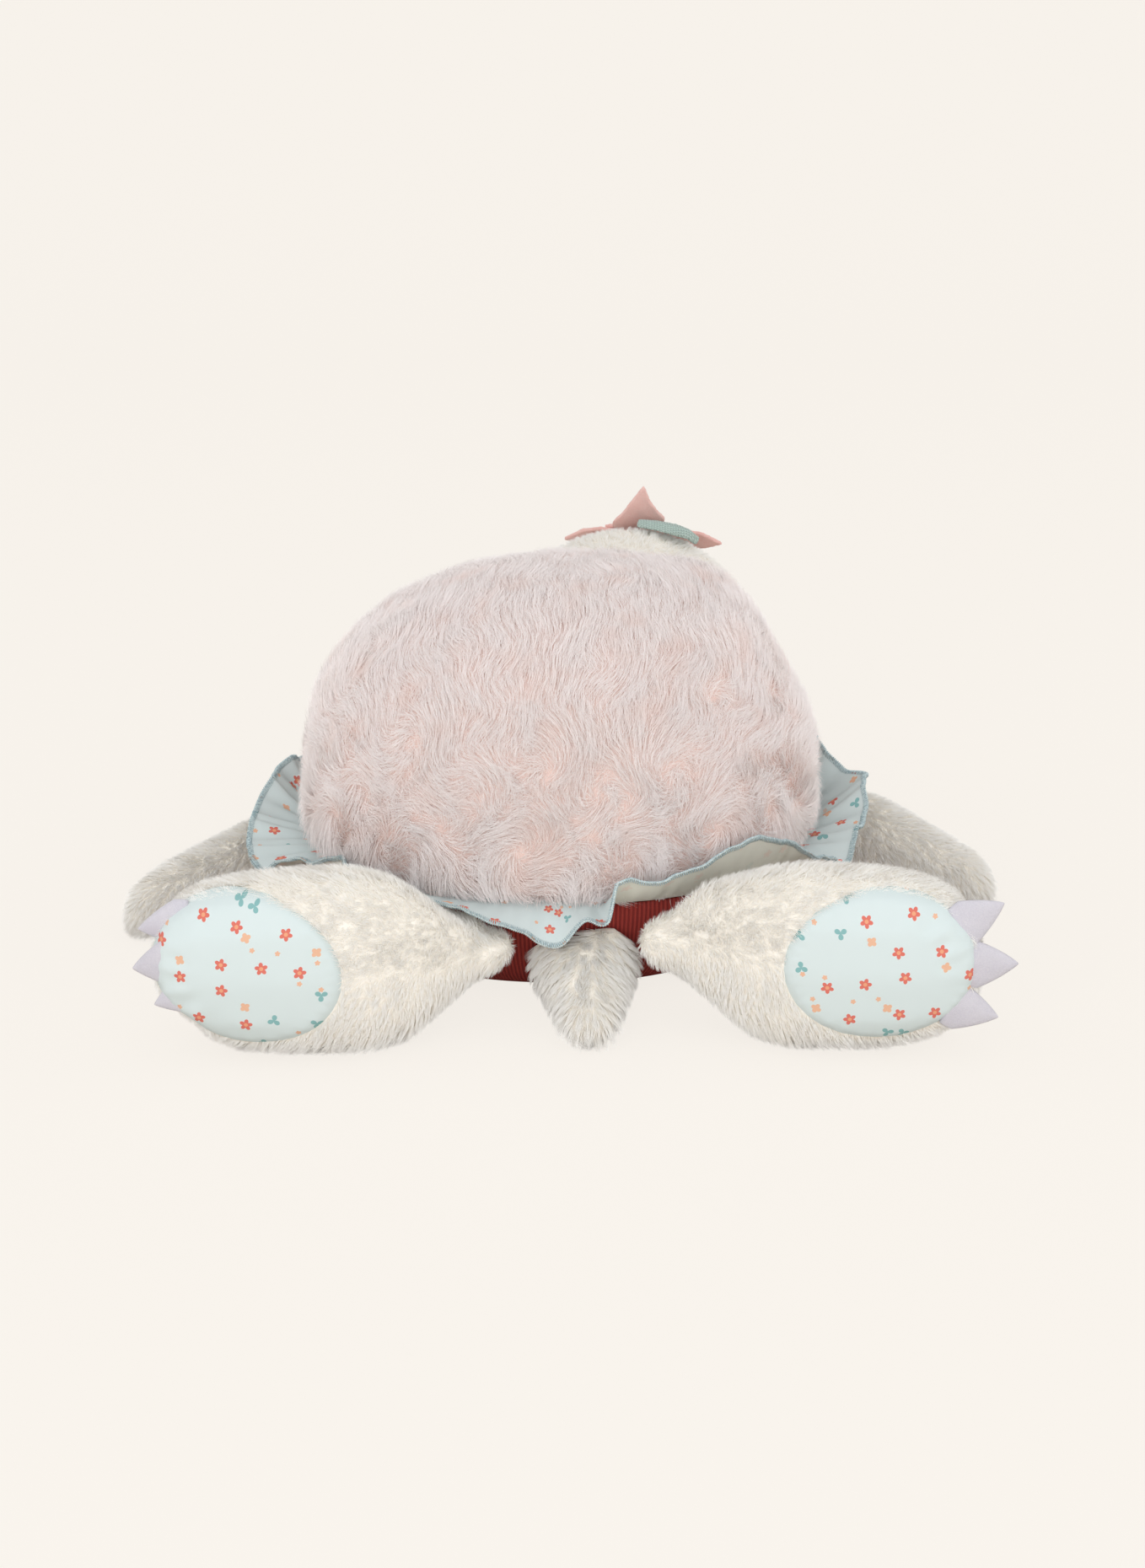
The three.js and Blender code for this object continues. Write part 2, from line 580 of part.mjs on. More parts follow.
// A direction of the face: degrees to the side and degrees up from straight ahead.
function faceWay(sideDegrees, riseDegrees) {
  const side = turn(sideDegrees);
  const rise = turn(riseDegrees);
  return toward(Math.sin(side) * Math.cos(rise), Math.cos(side) * Math.cos(rise), Math.sin(rise));
}

// Where a shape that was made facing +Z sits on the egg, facing its way, with its top turned to a side.
function headPlace(facing, top, lift) {
  const face = facing.clone().normalize();
  const across = top.clone().cross(face).normalize();
  const up = face.clone().cross(across);
  const spot = headPoint(face).addScaledVector(face, lift);
  return new THREE.Matrix4().makeBasis(across, up, face).setPosition(spot);
}

const onHead = (geometry, facing, top, lift) => geometry.applyMatrix4(headPlace(facing, top, lift));

const EYE_SIDES = 12;
const EYE_ROWS = 6;

function makeEye(side) {
  const eye = new THREE.SphereGeometry(1, EYE_SIDES, EYE_ROWS);
  eye.rotateX(QUARTER);
  eye.scale(EYE_HALF_WIDTH, EYE_HALF_HEIGHT, EYE_BULGE);
  onHead(eye, faceWay(side * EYE_SIDE_DEGREES, EYE_RISE_DEGREES), toward(0, 0, 1), 0);
  return solidOfGeometry(eye);
}

const MOUTH_STEPS = 6;
const MOUTH_SIDES = 6;

function makeMouth() {
  const points = [];
  for (let i = 0; i <= MOUTH_STEPS; i += 1) {
    const share = (2 * i) / MOUTH_STEPS - 1;
    const rise = MOUTH_SAG_DEGREES * share ** 2 - MOUTH_DROP_DEGREES;
    const way = faceWay(MOUTH_HALF_WIDTH_DEGREES * share, rise);
    points.push(headPoint(way).addScaledVector(way, MOUTH_THREAD / 2 + SEAM_GAP));
  }
  const round = new THREE.Shape();
  round.absarc(0, 0, MOUTH_THREAD / 2, 0, 2 * Math.PI);
  const line = new THREE.CatmullRomCurve3(points);
  return solidOfGeometry(new THREE.ExtrudeGeometry(round, {
    steps: 2 * MOUTH_STEPS, curveSegments: MOUTH_SIDES / 2, extrudePath: line }));
}

const flowerWay = faceWay(FLOWER_SIDE_DEGREES, FLOWER_RISE_DEGREES);
const PETAL_CURVE_STEPS = 4;
const PETAL_ROWS_SHARES = [0.4, 0.72, 1];

// One felt layer of the flower: pointed petals that rise behind the heart and droop before it.
function makePetals(sizeShare, turnDegrees, cup, lift, grow) {
  const outline = new THREE.Shape();
  const length = PETAL_LENGTH * sizeShare + grow;
  const half = PETAL_HALF_WIDTH * sizeShare + grow;
  const neck = PETAL_NECK * sizeShare + grow;
  PETAL_ANGLES_DEGREES.forEach((degrees, i) => {
    const angle = turn(degrees + turnDegrees);
    const spot = (ahead, aside) => [
      ahead * Math.cos(angle) - aside * Math.sin(angle),
      ahead * Math.sin(angle) + aside * Math.cos(angle),
    ];
    if (i === 0) outline.moveTo(...spot(neck, -half * PETAL_ROOT_SHARE));
    else outline.lineTo(...spot(neck, -half * PETAL_ROOT_SHARE));
    const handle = ([alongShare, asideShare], hand) => spot(length * alongShare, hand * half * asideShare);
    const [inner, outer] = [PETAL_INNER_HANDLE_SHARES, PETAL_OUTER_HANDLE_SHARES];
    outline.bezierCurveTo(...handle(inner, -1), ...handle(outer, -1), ...spot(length, 0));
    outline.bezierCurveTo(...handle(outer, 1), ...handle(inner, 1), ...spot(neck, half * PETAL_ROOT_SHARE));
  });
  const rim = outline.getPoints(PETAL_CURVE_STEPS);
  const row = (rowShare, height) => rim.map((flat) => {
    const [x, y] = [flat.x * rowShare, flat.y * rowShare];
    const far = (Math.max(Math.hypot(x, y) - PETAL_NECK, 0) / (PETAL_LENGTH - PETAL_NECK)) ** 2;
    const bend = far * (PETAL_BEND + (PETAL_SWING * y) / PETAL_LENGTH + cup / sizeShare ** 2);
    return toward(x, y, height + bend);
  });
  const [bottom, top] = [-grow, FELT + grow];
  const rows = [[toward(0, 0, bottom)]];
  PETAL_ROWS_SHARES.forEach((rowShare) => rows.push(row(rowShare, bottom)));
  PETAL_ROWS_SHARES.slice().reverse().forEach((rowShare) => rows.push(row(rowShare, top)));
  rows.push([toward(0, 0, top)]);
  return placed(skin(rows), headPlace(flowerWay, toward(0, 0, 1), lift));
}

const HEART_STEPS = 5;

function makeHeart(lift) {
  const profile = [new THREE.Vector2(0, 0)];
  for (let i = 0; i <= HEART_STEPS; i += 1) {
    const angle = (i / HEART_STEPS) * QUARTER;
    const reach = i === HEART_STEPS ? 0 : HEART_RADIUS * Math.cos(angle);
    profile.push(new THREE.Vector2(reach, HEART_HEIGHT * Math.sin(angle)));
  }
  const heart = new THREE.LatheGeometry(profile, NECK_SIDES);
  heart.rotateX(QUARTER);
  return solidOfGeometry(onHead(heart, flowerWay, toward(0, 0, 1), lift));
}

const LEAF_STEPS = 8;

// The leaf is a pointed oval pad that follows the crown of the head.
function makeLeaf() {
  const outline = new THREE.Shape();
  outline.moveTo(-LEAF_LENGTH / 2, 0);
  outline.quadraticCurveTo(0, -2 * LEAF_HALF_WIDTH, LEAF_LENGTH / 2, 0);
  outline.quadraticCurveTo(0, 2 * LEAF_HALF_WIDTH, -LEAF_LENGTH / 2, 0);
  const pad = new THREE.ExtrudeGeometry(outline, {
    depth: LEAF_THICKNESS, bevelEnabled: false, curveSegments: LEAF_STEPS });
  const places = pad.attributes.position;
  for (let i = 0; i < places.count; i += 1) {
    places.setZ(i, places.getZ(i) - places.getX(i) ** 2 / (2 * LEAF_BEND_RADIUS));
  }
  return solidOfGeometry(onHead(pad, faceWay(LEAF_SIDE_DEGREES, LEAF_RISE_DEGREES), toward(0, 1, 0), 0));
}

const root = new THREE.Group();

function addPiece(name, solid, material) {
  const made = solid.getMesh();
  const positions = new Float32Array(made.numVert * 3);
  for (let i = 0; i < made.numVert; i += 1) {
    positions.set(made.vertProperties.subarray(i * made.numProp, i * made.numProp + 3), i * 3);
  }
  const geometry = new THREE.BufferGeometry();
  geometry.setAttribute("position", new THREE.BufferAttribute(positions, 3));
  geometry.setIndex(new THREE.BufferAttribute(made.triVerts, 1));
  geometry.computeVertexNormals();
  const mesh = new THREE.Mesh(geometry, material);
  mesh.name = name;
  root.add(mesh);
}

// Where a cut leaves crumbs, the largest piece is the one that is sewn.
function largest(solid) {
  return solid.decompose().reduce((best, one) => (one.volume() > best.volume() ? one : best));
}

const placed = (solid, matrix) => solid.transform(matrix.toArray());

function shifted(solid, direction, distance) {
  const by = direction.clone().multiplyScalar(distance);
  return placed(solid, new THREE.Matrix4().makeTranslation(by.x, by.y, by.z));
}

const bodyKeepOut = bodyLump(SEAM_GAP);
const keepOut = bodyKeepOut.add(frillLump(SEAM_GAP));
const fillingKeepOut = bodyKeepOut.add(frillLump(FILLING_EASE));

addPiece("shell_cover", makeShell(), LONG_PILE);
addPiece("belly_panel", makeBelly(), RIB_CLOTH);
addPiece("ruffle", makeFrill(), PRINTED_COTTON);
addPiece("body_filling", makeBodyFilling(), STUFFING);

function addHindLeg(side, hand) {
  const limb = hindLimb(side);
  const whole = limbSolid(limb, 0);
  const facing = toward(0, -1, 0).transformDirection(solePlace(side));
  const cover = whole
    .subtract(limbSolid(limb, PLUSH_PILE))
    .subtract(soleBlock(side, SEAM_GAP))
    .subtract(keepOut);
  const sole = whole.intersect(soleBlock(side, 0)).subtract(shifted(whole, facing, -SOLE_CLOTH));
  const plug = shifted(whole, facing, -SOLE_CLOTH - SEAM_GAP).intersect(soleBlock(side, -SEAM_GAP));
  const core = limbSolid(limb, PLUSH_PILE + SEAM_GAP).add(plug).subtract(fillingKeepOut);
  addPiece("hind_leg_cover_" + hand, largest(cover), CREAM_PLUSH);
  addPiece("hind_leg_filling_" + hand, largest(core), STUFFING);
  addPiece("hind_sole_" + hand, largest(sole), PRINTED_COTTON);
  const grown = limbSolid(limb, -SEAM_GAP);
  CLAW_ANGLES_DEGREES.forEach((degrees, i) => {
    const claw = makeClaw(side, degrees).subtract(grown);
    addPiece("hind_claw_" + hand + "_" + (i + 1), largest(claw), CLAW_FELT);
  });
}

function addStuffedLimb(name, hand, limb) {
  const cover = limbSolid(limb, 0).subtract(limbSolid(limb, PLUSH_PILE)).subtract(keepOut);
  const core = limbSolid(limb, PLUSH_PILE + SEAM_GAP).subtract(fillingKeepOut);
  addPiece(name + "_cover" + hand, largest(cover), CREAM_PLUSH);
  addPiece(name + "_filling" + hand, largest(core), STUFFING);
}

addHindLeg(-1, "left");
addHindLeg(1, "right");
addStuffedLimb("front_leg", "_left", frontLimb(-1));
addStuffedLimb("front_leg", "_right", frontLimb(1));
addStuffedLimb("tail", "", tailLimb());

const headGrown = headSolid(-SEAM_GAP);
addPiece("head_cover", headSolid(0).subtract(headSolid(PLUSH_PILE)).subtract(bodyKeepOut), CREAM_PLUSH);
addPiece("head_filling", headSolid(PLUSH_PILE + SEAM_GAP).subtract(bodyKeepOut), STUFFING);
addPiece("eye_left", makeEye(-1).subtract(headGrown), EYE_THREAD);
addPiece("eye_right", makeEye(1).subtract(headGrown), EYE_THREAD);
addPiece("mouth_stitch", makeMouth().subtract(headGrown), EYE_THREAD);

const innerLift = 2 * SEAM_GAP + FELT;
const heartLift = innerLift + FELT + SEAM_GAP;
addPiece("flower_petals_outer", makePetals(1, 0, 0, SEAM_GAP, 0).subtract(headGrown), PETAL_FELT);
addPiece("flower_petals_inner",
  makePetals(INNER_PETAL_SHARE, INNER_PETAL_TURN_DEGREES, INNER_PETAL_CUP, innerLift, 0), PETAL_FELT);
addPiece("flower_heart", makeHeart(heartLift), PETAL_FELT);
const leaf = makeLeaf().subtract(headGrown).subtract(makePetals(1, 0, 0, SEAM_GAP, SEAM_GAP));
addPiece("leaf", largest(leaf), LEAF_KNIT);

export default root;
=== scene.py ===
# %% [markdown]
# A plush turtle, dressed for its portrait.
#
# A soft toy is nearly all surface: long fur on the back, short plush on the limbs, a printed frill, felt
# claws and petals. The frame gives each limb's place and size, and every step here grows one real cloth
# on it. All lengths are in metres, in the frame that the limbs were cut in: +Z up, the head at +Y.

# %% Load the frame
import math

import bpy
import numpy as np
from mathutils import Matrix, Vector
from mathutils.bvhtree import BVHTree
from mathutils.kdtree import KDTree


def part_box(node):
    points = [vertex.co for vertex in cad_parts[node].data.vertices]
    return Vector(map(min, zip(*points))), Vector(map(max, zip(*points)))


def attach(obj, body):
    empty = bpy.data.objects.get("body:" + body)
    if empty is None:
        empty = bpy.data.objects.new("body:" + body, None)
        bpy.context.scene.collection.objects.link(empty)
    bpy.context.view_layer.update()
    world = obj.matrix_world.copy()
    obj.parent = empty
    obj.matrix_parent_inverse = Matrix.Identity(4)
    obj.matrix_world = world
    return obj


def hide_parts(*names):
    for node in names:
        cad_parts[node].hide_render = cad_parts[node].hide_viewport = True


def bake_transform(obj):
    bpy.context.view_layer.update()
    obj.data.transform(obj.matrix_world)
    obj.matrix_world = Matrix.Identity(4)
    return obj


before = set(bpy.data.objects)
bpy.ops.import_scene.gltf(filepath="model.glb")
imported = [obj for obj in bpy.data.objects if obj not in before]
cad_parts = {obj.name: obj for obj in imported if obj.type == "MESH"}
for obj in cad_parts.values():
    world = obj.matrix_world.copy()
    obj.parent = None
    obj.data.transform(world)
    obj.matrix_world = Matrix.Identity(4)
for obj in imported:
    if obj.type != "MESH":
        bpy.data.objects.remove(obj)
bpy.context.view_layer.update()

MM = 0.001
TURN = 2 * math.pi


def corners(node):
    """Lowest and highest corner of a node as arrays."""
    low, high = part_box(node)
    return np.array(low), np.array(high)


shell_low, shell_high = corners("shell_cover")
belly_low, belly_high = corners("belly_panel")
seam_height = (shell_low[2] + belly_high[2]) / 2
print("shell", np.round(shell_high - shell_low, 3), "seam at", round(seam_height, 4))

# %% [markdown]
# The photograph was taken from behind, a little above the toy, with a long lens. A camera needs four
# facts: where it looks, from how far, from how high, and how long its lens is. The sensor's long side is
# upright, because the picture is taller than it is wide.

# %% Camera
PHOTO_WIDTH, PHOTO_HEIGHT = 1358, 1860
FOCAL_PIXELS = 4492
TARGET_PIXEL = 672
SENSOR = 36.0
CAMERA_DISTANCE = 2.0
CAMERA_ELEVATION = math.radians(18)
TARGET = Vector((5 * MM, 0, 80 * MM))

camera_data = bpy.data.cameras.new("portrait")
camera_data.sensor_width = SENSOR
camera_data.lens = FOCAL_PIXELS / PHOTO_HEIGHT * SENSOR
camera_data.shift_x = (PHOTO_WIDTH / 2 - TARGET_PIXEL) / PHOTO_HEIGHT
camera = bpy.data.objects.new("portrait", camera_data)
bpy.context.scene.collection.objects.link(camera)
back = Vector((0, -math.cos(CAMERA_ELEVATION), math.sin(CAMERA_ELEVATION)))
camera.location = TARGET + back * CAMERA_DISTANCE
camera.rotation_euler = (-back).to_track_quat("-Z", "Y").to_euler()
bpy.context.scene.camera = camera
print("lens", round(camera_data.lens, 2), "mm")

# %% [markdown]
# Finishes are written as sums. This class wraps one output of a node: a plain sum on it adds the Math
# nodes that work it out, so `1 - mask` reads as it does on paper. Every other kind of node comes from one
# method, which takes the node's kind, its settings, and the values or links of its sockets.


# %% Sums on sockets
class Wire:
    """One output in a material's node tree."""

    def __init__(self, tree, socket=None):
        self.tree = tree
        self.socket = socket

    def node(self, kind, settings=(), sockets=(), out=0):
        made = self.tree.nodes.new("ShaderNode" + kind)
        for name, value in dict(settings).items():
            if name == "stops":
                set_stops(made.color_ramp, value)
            else:
                setattr(made, name, value)
        for name, value in dict(sockets).items():
            if isinstance(value, Wire):
                self.tree.links.new(value.socket, made.inputs[name])
            else:
                made.inputs[name].default_value = value
        return Wire(self.tree, made.outputs[out])

    def math(self, operation, *values):
        return self.node("Math", {"operation": operation}, dict(enumerate(values)))

    def __add__(self, other):
        return self.math("ADD", self, other)

    def __sub__(self, other):
        return self.math("SUBTRACT", self, other)

    def __rsub__(self, other):
        return self.math("SUBTRACT", other, self)

    def __mul__(self, other):
        return self.math("MULTIPLY", self, other)

    def __truediv__(self, other):
        return self.math("DIVIDE", self, other)

    def __rtruediv__(self, other):
        return self.math("DIVIDE", other, self)

    def __abs__(self):
        return self.math("ABSOLUTE", self)

    __radd__ = __add__
    __rmul__ = __mul__

    def cos(self):
        return self.math("COSINE", self)

    def sin(self):
        return self.math("SINE", self)

    def between(self, low, high):
        """0 where the value is low, 1 where it is high, and a smooth step between."""
        values = {"Value": self, "From Min": low, "From Max": high}
        return self.node("MapRange", {"interpolation_type": "SMOOTHSTEP"}, values)

    def mix(self, first, second):
        """The first colour where this value is 0, and the second where it is 1."""
        return self.node("Mix", {"data_type": "RGBA"}, {0: self, 6: first, 7: second}, out=2)


def set_stops(ramp, stops):
    """Gives a colour ramp its stops, as a list of (place, colour)."""
    while len(ramp.elements) < len(stops):
        ramp.elements.new(1)
    for element, (place, colour) in zip(ramp.elements, stops):
        element.position = place
        element.color = colour


print("a socket can be added, multiplied and mixed")

# %% [markdown]
# A cloth needs a colour that changes over its surface, and a height for the bump of its weave or fibre.
# Both are functions that make their nodes from one starting wire, so each cloth below is a few sums and
# one call. Colours are written as they show on a screen and turned into the linear light that shaders
# count in.


# %% Colours and cloths
def linear(red, green, blue):
    """A colour that is written as 0 to 255 on screen, as the linear values that shaders use."""
    shares = [value / 255 for value in (red, green, blue)]
    bent = [v / 12.92 if v <= 0.04045 else ((v + 0.055) / 1.055) ** 2.4 for v in shares]
    return (*bent, 1.0)


def noise(start, size, **more):
    """Noise in the object's own space, with features about `size` across."""
    place = start.node("TexCoord", out="Object")
    return start.node("TexNoise", {}, {"Vector": place, "Scale": 1 / size, **more})


def finish_of(
    name, slot, colour, roughness=0.9, sheen=0.0, sheen_tint=(1, 1, 1, 1), bump=None, depth=0.0, shine=0.2
):
    """A cloth: `colour` and `bump` are made from a Wire, and what is the same all over is set here."""
    material = bpy.data.materials.new(name)
    material.use_nodes = True
    tree = material.node_tree
    shader = tree.nodes["Principled BSDF"]
    start = Wire(tree)
    tree.links.new(colour(start).socket, shader.inputs["Base Color"])
    shader.inputs["Roughness"].default_value = roughness
    shader.inputs["Specular IOR Level"].default_value = shine
    shader.inputs["Sheen Weight"].default_value = sheen
    shader.inputs["Sheen Tint"].default_value = sheen_tint
    if bump is not None:
        raised = start.node("Bump", {}, {"Height": bump(start), "Distance": depth, "Strength": 1.0})
        tree.links.new(raised.socket, shader.inputs["Normal"])
    material["slot"] = slot
    return material


print("screen grey 128 is", round(linear(128, 128, 128)[0], 3), "in linear light")

# %% [markdown]
# Long pile is paler at its tips than at its roots: the pale tips are a painted highlight, and the warm
# pink roots, which show where it parts, are painted shade deep in the fur. Each strand carries two numbers:
# how far along it a point lies, and a random value that shades the whole strand a little. The same finish
# with other colours makes the short cream plush, whose roots and tips are painted the same way.


# %% Fur finishes
BODY_STOP = 0.35
STRAND_SHADE = 0.97


def fur_colour(root, body, tip, patch, patch_size):
    """Painted shade at each root, a painted highlight at each tip, and patches of tint over the fur."""

    def build(start):
        along = start.node("Attribute", {"attribute_name": "along"}, out="Fac")
        lock = start.node("Attribute", {"attribute_name": "lock"}, out="Fac")
        stops = [(0.0, root), (BODY_STOP, body), (1.0, tip)]
        strand = along.node("ValToRGB", {"stops": stops}, {"Fac": along})
        cloud = noise(start, patch_size, Detail=2.0)
        tinted = (cloud.between(0.5, 0.75) * 0.5).mix(strand, patch)
        shade = lock.mix((STRAND_SHADE, STRAND_SHADE, STRAND_SHADE, 1), (1, 1, 1, 1))
        multiply = {"data_type": "RGBA", "blend_type": "MULTIPLY"}
        return shade.node("Mix", multiply, {0: 1.0, 6: tinted, 7: shade}, out=2)

    return build


# Root colours are painted shade deep in the pile, and tip colours are a painted highlight.
PINK_ROOT_SHADE = linear(245, 224, 217)
PINK_BODY = linear(254, 246, 244)
PINK_TIP_HIGHLIGHT = linear(255, 250, 249)
PINK_PATCH = linear(250, 230, 223)
CREAM_ROOT = linear(249, 242, 230)
CREAM_BODY = linear(253, 251, 246)
CREAM_TIP_HIGHLIGHT = linear(255, 254, 252)
CREAM_PATCH = linear(251, 247, 239)

pink_tone = fur_colour(PINK_ROOT_SHADE, PINK_BODY, PINK_TIP_HIGHLIGHT, PINK_PATCH, 20 * MM)
cream_tone = fur_colour(CREAM_ROOT, CREAM_BODY, CREAM_TIP_HIGHLIGHT, CREAM_PATCH, 30 * MM)
long_pile = finish_of("long_pile_fur", "long_pile", pink_tone, sheen=1.0, shine=0.5)
cream_plush = finish_of("cream_plush_fur", "cream_plush", cream_tone, sheen=0.6, shine=0.5)
print("fur finishes", long_pile.name, cream_plush.name)

# %% [markdown]
# Pile is rooted in a knitted backing, which shows a little between the strands. It is about as pale as
# the roots, so that a gap reads as depth in the fur and not as a hole. Small rounded bumps are its stitches.

# %% Backings
KNIT = 1.6 * MM
PINK_BACKING = linear(238, 216, 209)
PINK_BACKING_DARK = linear(230, 205, 197)


def backing_finish(name, slot, colour, darker):
    """The knitted backing that the pile is rooted in."""

    def tone(start):
        return noise(start, KNIT).mix(colour, darker)

    def knit(start):
        place = start.node("TexCoord", out="Object")
        return start.node("TexVoronoi", {}, {"Vector": place, "Scale": 1 / KNIT})

    return finish_of(name, slot, tone, bump=knit, depth=0.4 * MM)


pink_backing = backing_finish("long_pile_backing", "long_pile", PINK_BACKING, PINK_BACKING_DARK)
cream_backing = backing_finish("cream_backing", "cream_plush", CREAM_ROOT, CREAM_BODY)
print("backings", pink_backing.name, cream_backing.name)

# %% [markdown]
# Pieces are built as arrays of points and faces, which is quick even for hundreds of thousands of
# strands.


# %% Meshes from arrays
def new_piece(name, points, polygons, material):
    """A smooth shaded mesh object from points and a list of face arrays, each (count, corners)."""
    mesh = bpy.data.meshes.new(name)
    mesh.vertices.add(len(points))
    mesh.vertices.foreach_set("co", np.asarray(points, np.float32).ravel())
    turning = np.concatenate([faces.ravel() for faces in polygons]).astype(np.int32)
    sizes = np.concatenate([np.full(len(faces), faces.shape[1]) for faces in polygons])
    mesh.loops.add(len(turning))
    mesh.loops.foreach_set("vertex_index", turning)
    mesh.polygons.add(len(sizes))
    starts = np.concatenate([[0], np.cumsum(sizes)[:-1]]).astype(np.int32)
    mesh.polygons.foreach_set("loop_start", starts)
    mesh.polygons.foreach_set("use_smooth", np.ones(len(sizes), bool))
    mesh.update(calc_edges=True)
    mesh.materials.append(material)
    piece = bpy.data.objects.new(name, mesh)
    bpy.context.scene.collection.objects.link(piece)
    return piece


def points_of(mesh):
    """The mesh's points as an array of places."""
    places = np.zeros(len(mesh.vertices) * 3, np.float32)
    mesh.vertices.foreach_get("co", places)
    return places.reshape(-1, 3).astype(float)


def normals_of(mesh):
    """The mesh's smooth normals, one for each point."""
    ways = np.zeros(len(mesh.vertices) * 3, np.float32)
    mesh.vertex_normals.foreach_get("vector", ways)
    return ways.reshape(-1, 3).astype(float)


def unit(ways):
    """The same directions with a length of 1."""
    return ways / np.maximum(np.linalg.norm(ways, axis=-1, keepdims=True), 1e-9)


def waves(points, size, seed, count=16):
    """Smooth noise, mostly between -1.5 and 1.5, with features about `size` across."""
    rng = np.random.default_rng(seed)
    ways = unit(rng.normal(size=(count, 3))) * (TURN / (size * rng.uniform(0.8, 2.2, (count, 1))))
    return np.sin(points @ ways.T + rng.uniform(0, TURN, count)).sum(1) / math.sqrt(count / 2)


def band(rows, closed=True):
    """Faces between rows of equal length: `rows` is an array of point numbers."""
    ahead = np.roll(rows, -1, axis=1)
    quads = np.stack([rows[:-1], ahead[:-1], ahead[1:], rows[1:]], axis=-1)
    if not closed:
        quads = quads[:, :-1]
    return quads.reshape(-1, 4)


print("noise of a point", np.round(waves(np.zeros((1, 3)), 0.05, 1), 3))

# %% [markdown]
# Stuffing is pushed into a limb by the handful, and each handful swells the cloth into a soft bulge. Here
# one is an ellipsoid that is joined to the limb before it is wrapped. A press is the opposite: it moves
# the points near it, less and less with the distance, as a thumb does.


# %% Handfuls and presses
def ellipsoid(middle, radii, sides=24):
    """Points and triangles of a closed ellipsoid, with lengths in mm."""
    turn = np.arange(sides) / sides * TURN
    rows = []
    for tilt in np.linspace(0, math.pi, sides // 2 + 1)[1:-1]:
        flat = math.sin(tilt) * np.column_stack([np.cos(turn), np.sin(turn)])
        rows.append(np.column_stack([flat, np.full(sides, math.cos(tilt))]))
    points = np.concatenate(rows + [[[0, 0, 1], [0, 0, -1]]])
    numbers = np.arange(len(rows) * sides).reshape(len(rows), sides)
    quads = band(numbers)[:, ::-1]
    top = np.column_stack([numbers[0], np.roll(numbers[0], -1), np.full(sides, len(points) - 2)])
    low = np.column_stack([np.roll(numbers[-1], -1), numbers[-1], np.full(sides, len(points) - 1)])
    triangles = np.concatenate([quads[:, [0, 1, 2]], quads[:, [0, 2, 3]], top, low])
    return (points * np.array(radii) + np.array(middle)) * MM, triangles


def moulded(points, presses):
    """Points moved as a hand presses stuffing: each press has a middle, a radius and a push, all in mm."""
    for middle, radius, push in presses:
        away = np.linalg.norm(points - np.array(middle) * MM, axis=1) / (radius * MM)
        points = points + np.exp(-away ** 2)[:, None] * np.array(push) * MM
    return points


print("a handful has", len(ellipsoid((0, 0, 0), (1, 1, 1))[0]), "points")

# %% [markdown]
# Each limb is one smooth stuffed form. The frame's cover and filling are joined, wrapped again by a voxel
# remesh, which closes the seam gap between them, and smoothed as stuffing smooths cloth. The backing of
# the pile then lies a pile's depth inside the form, so that the tips of the fur reach the limb's true
# size.

# %% Stuffed forms
VOXEL = 3 * MM


def stuffed_form(nodes, voxel=VOXEL, rounds=7, extra=()):
    """One smooth closed mesh round the given nodes, and round extra handfuls of stuffing."""
    points = []
    triangles = []
    count = 0
    for handful in extra:
        places, faces = ellipsoid(*handful)
        points.append(places)
        triangles.append(faces + count)
        count += len(places)
    for node in nodes:
        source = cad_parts[node].data
        source.calc_loop_triangles()
        corner = np.zeros(len(source.loop_triangles) * 3, np.int32)
        source.loop_triangles.foreach_get("vertices", corner)
        points.append(points_of(source))
        triangles.append(corner.reshape(-1, 3) + count)
        count += len(source.vertices)
    lump = new_piece("lump", np.concatenate(points), triangles, cream_backing)
    wrap = lump.modifiers.new("wrap", "REMESH")
    wrap.mode = "VOXEL"
    wrap.voxel_size = voxel
    ease = lump.modifiers.new("ease", "SMOOTH")
    ease.factor = 0.5
    ease.iterations = rounds
    graph = bpy.context.evaluated_depsgraph_get()
    mesh = bpy.data.meshes.new_from_object(lump.evaluated_get(graph))
    bpy.data.objects.remove(lump)
    return mesh


def drawn_in(mesh, depth):
    """The mesh's points moved inward by a depth, along its normals."""
    return points_of(mesh) - normals_of(mesh) * depth


def faces_of(mesh):
    """The mesh's polygons as face arrays, one for triangles and one for quads."""
    sizes = np.zeros(len(mesh.polygons), np.int32)
    starts = np.zeros(len(mesh.polygons), np.int32)
    mesh.polygons.foreach_get("loop_total", sizes)
    mesh.polygons.foreach_get("loop_start", starts)
    turning = np.zeros(len(mesh.loops), np.int32)
    mesh.loops.foreach_get("vertex_index", turning)
    found = []
    for size in (3, 4):
        first = starts[sizes == size]
        if len(first):
            found.append(turning[first[:, None] + np.arange(size)])
    return found


def tree_of(points, faces):
    """A search tree that finds the nearest place on the faces."""
    return BVHTree.FromPolygons(points.tolist(), [f for group in faces for f in group.tolist()])


print("limbs are wrapped by voxels of", VOXEL, "m")

# %% [markdown]
# Fur is grown as the mill makes it: each strand is rooted in the backing, leans with the nap, and sticks
# to its neighbours in locks. One function scatters the roots, one bends the strands, and one draws them
# together in locks. Each works on arrays of all the strands at once, which takes a second where a loop
# takes minutes.


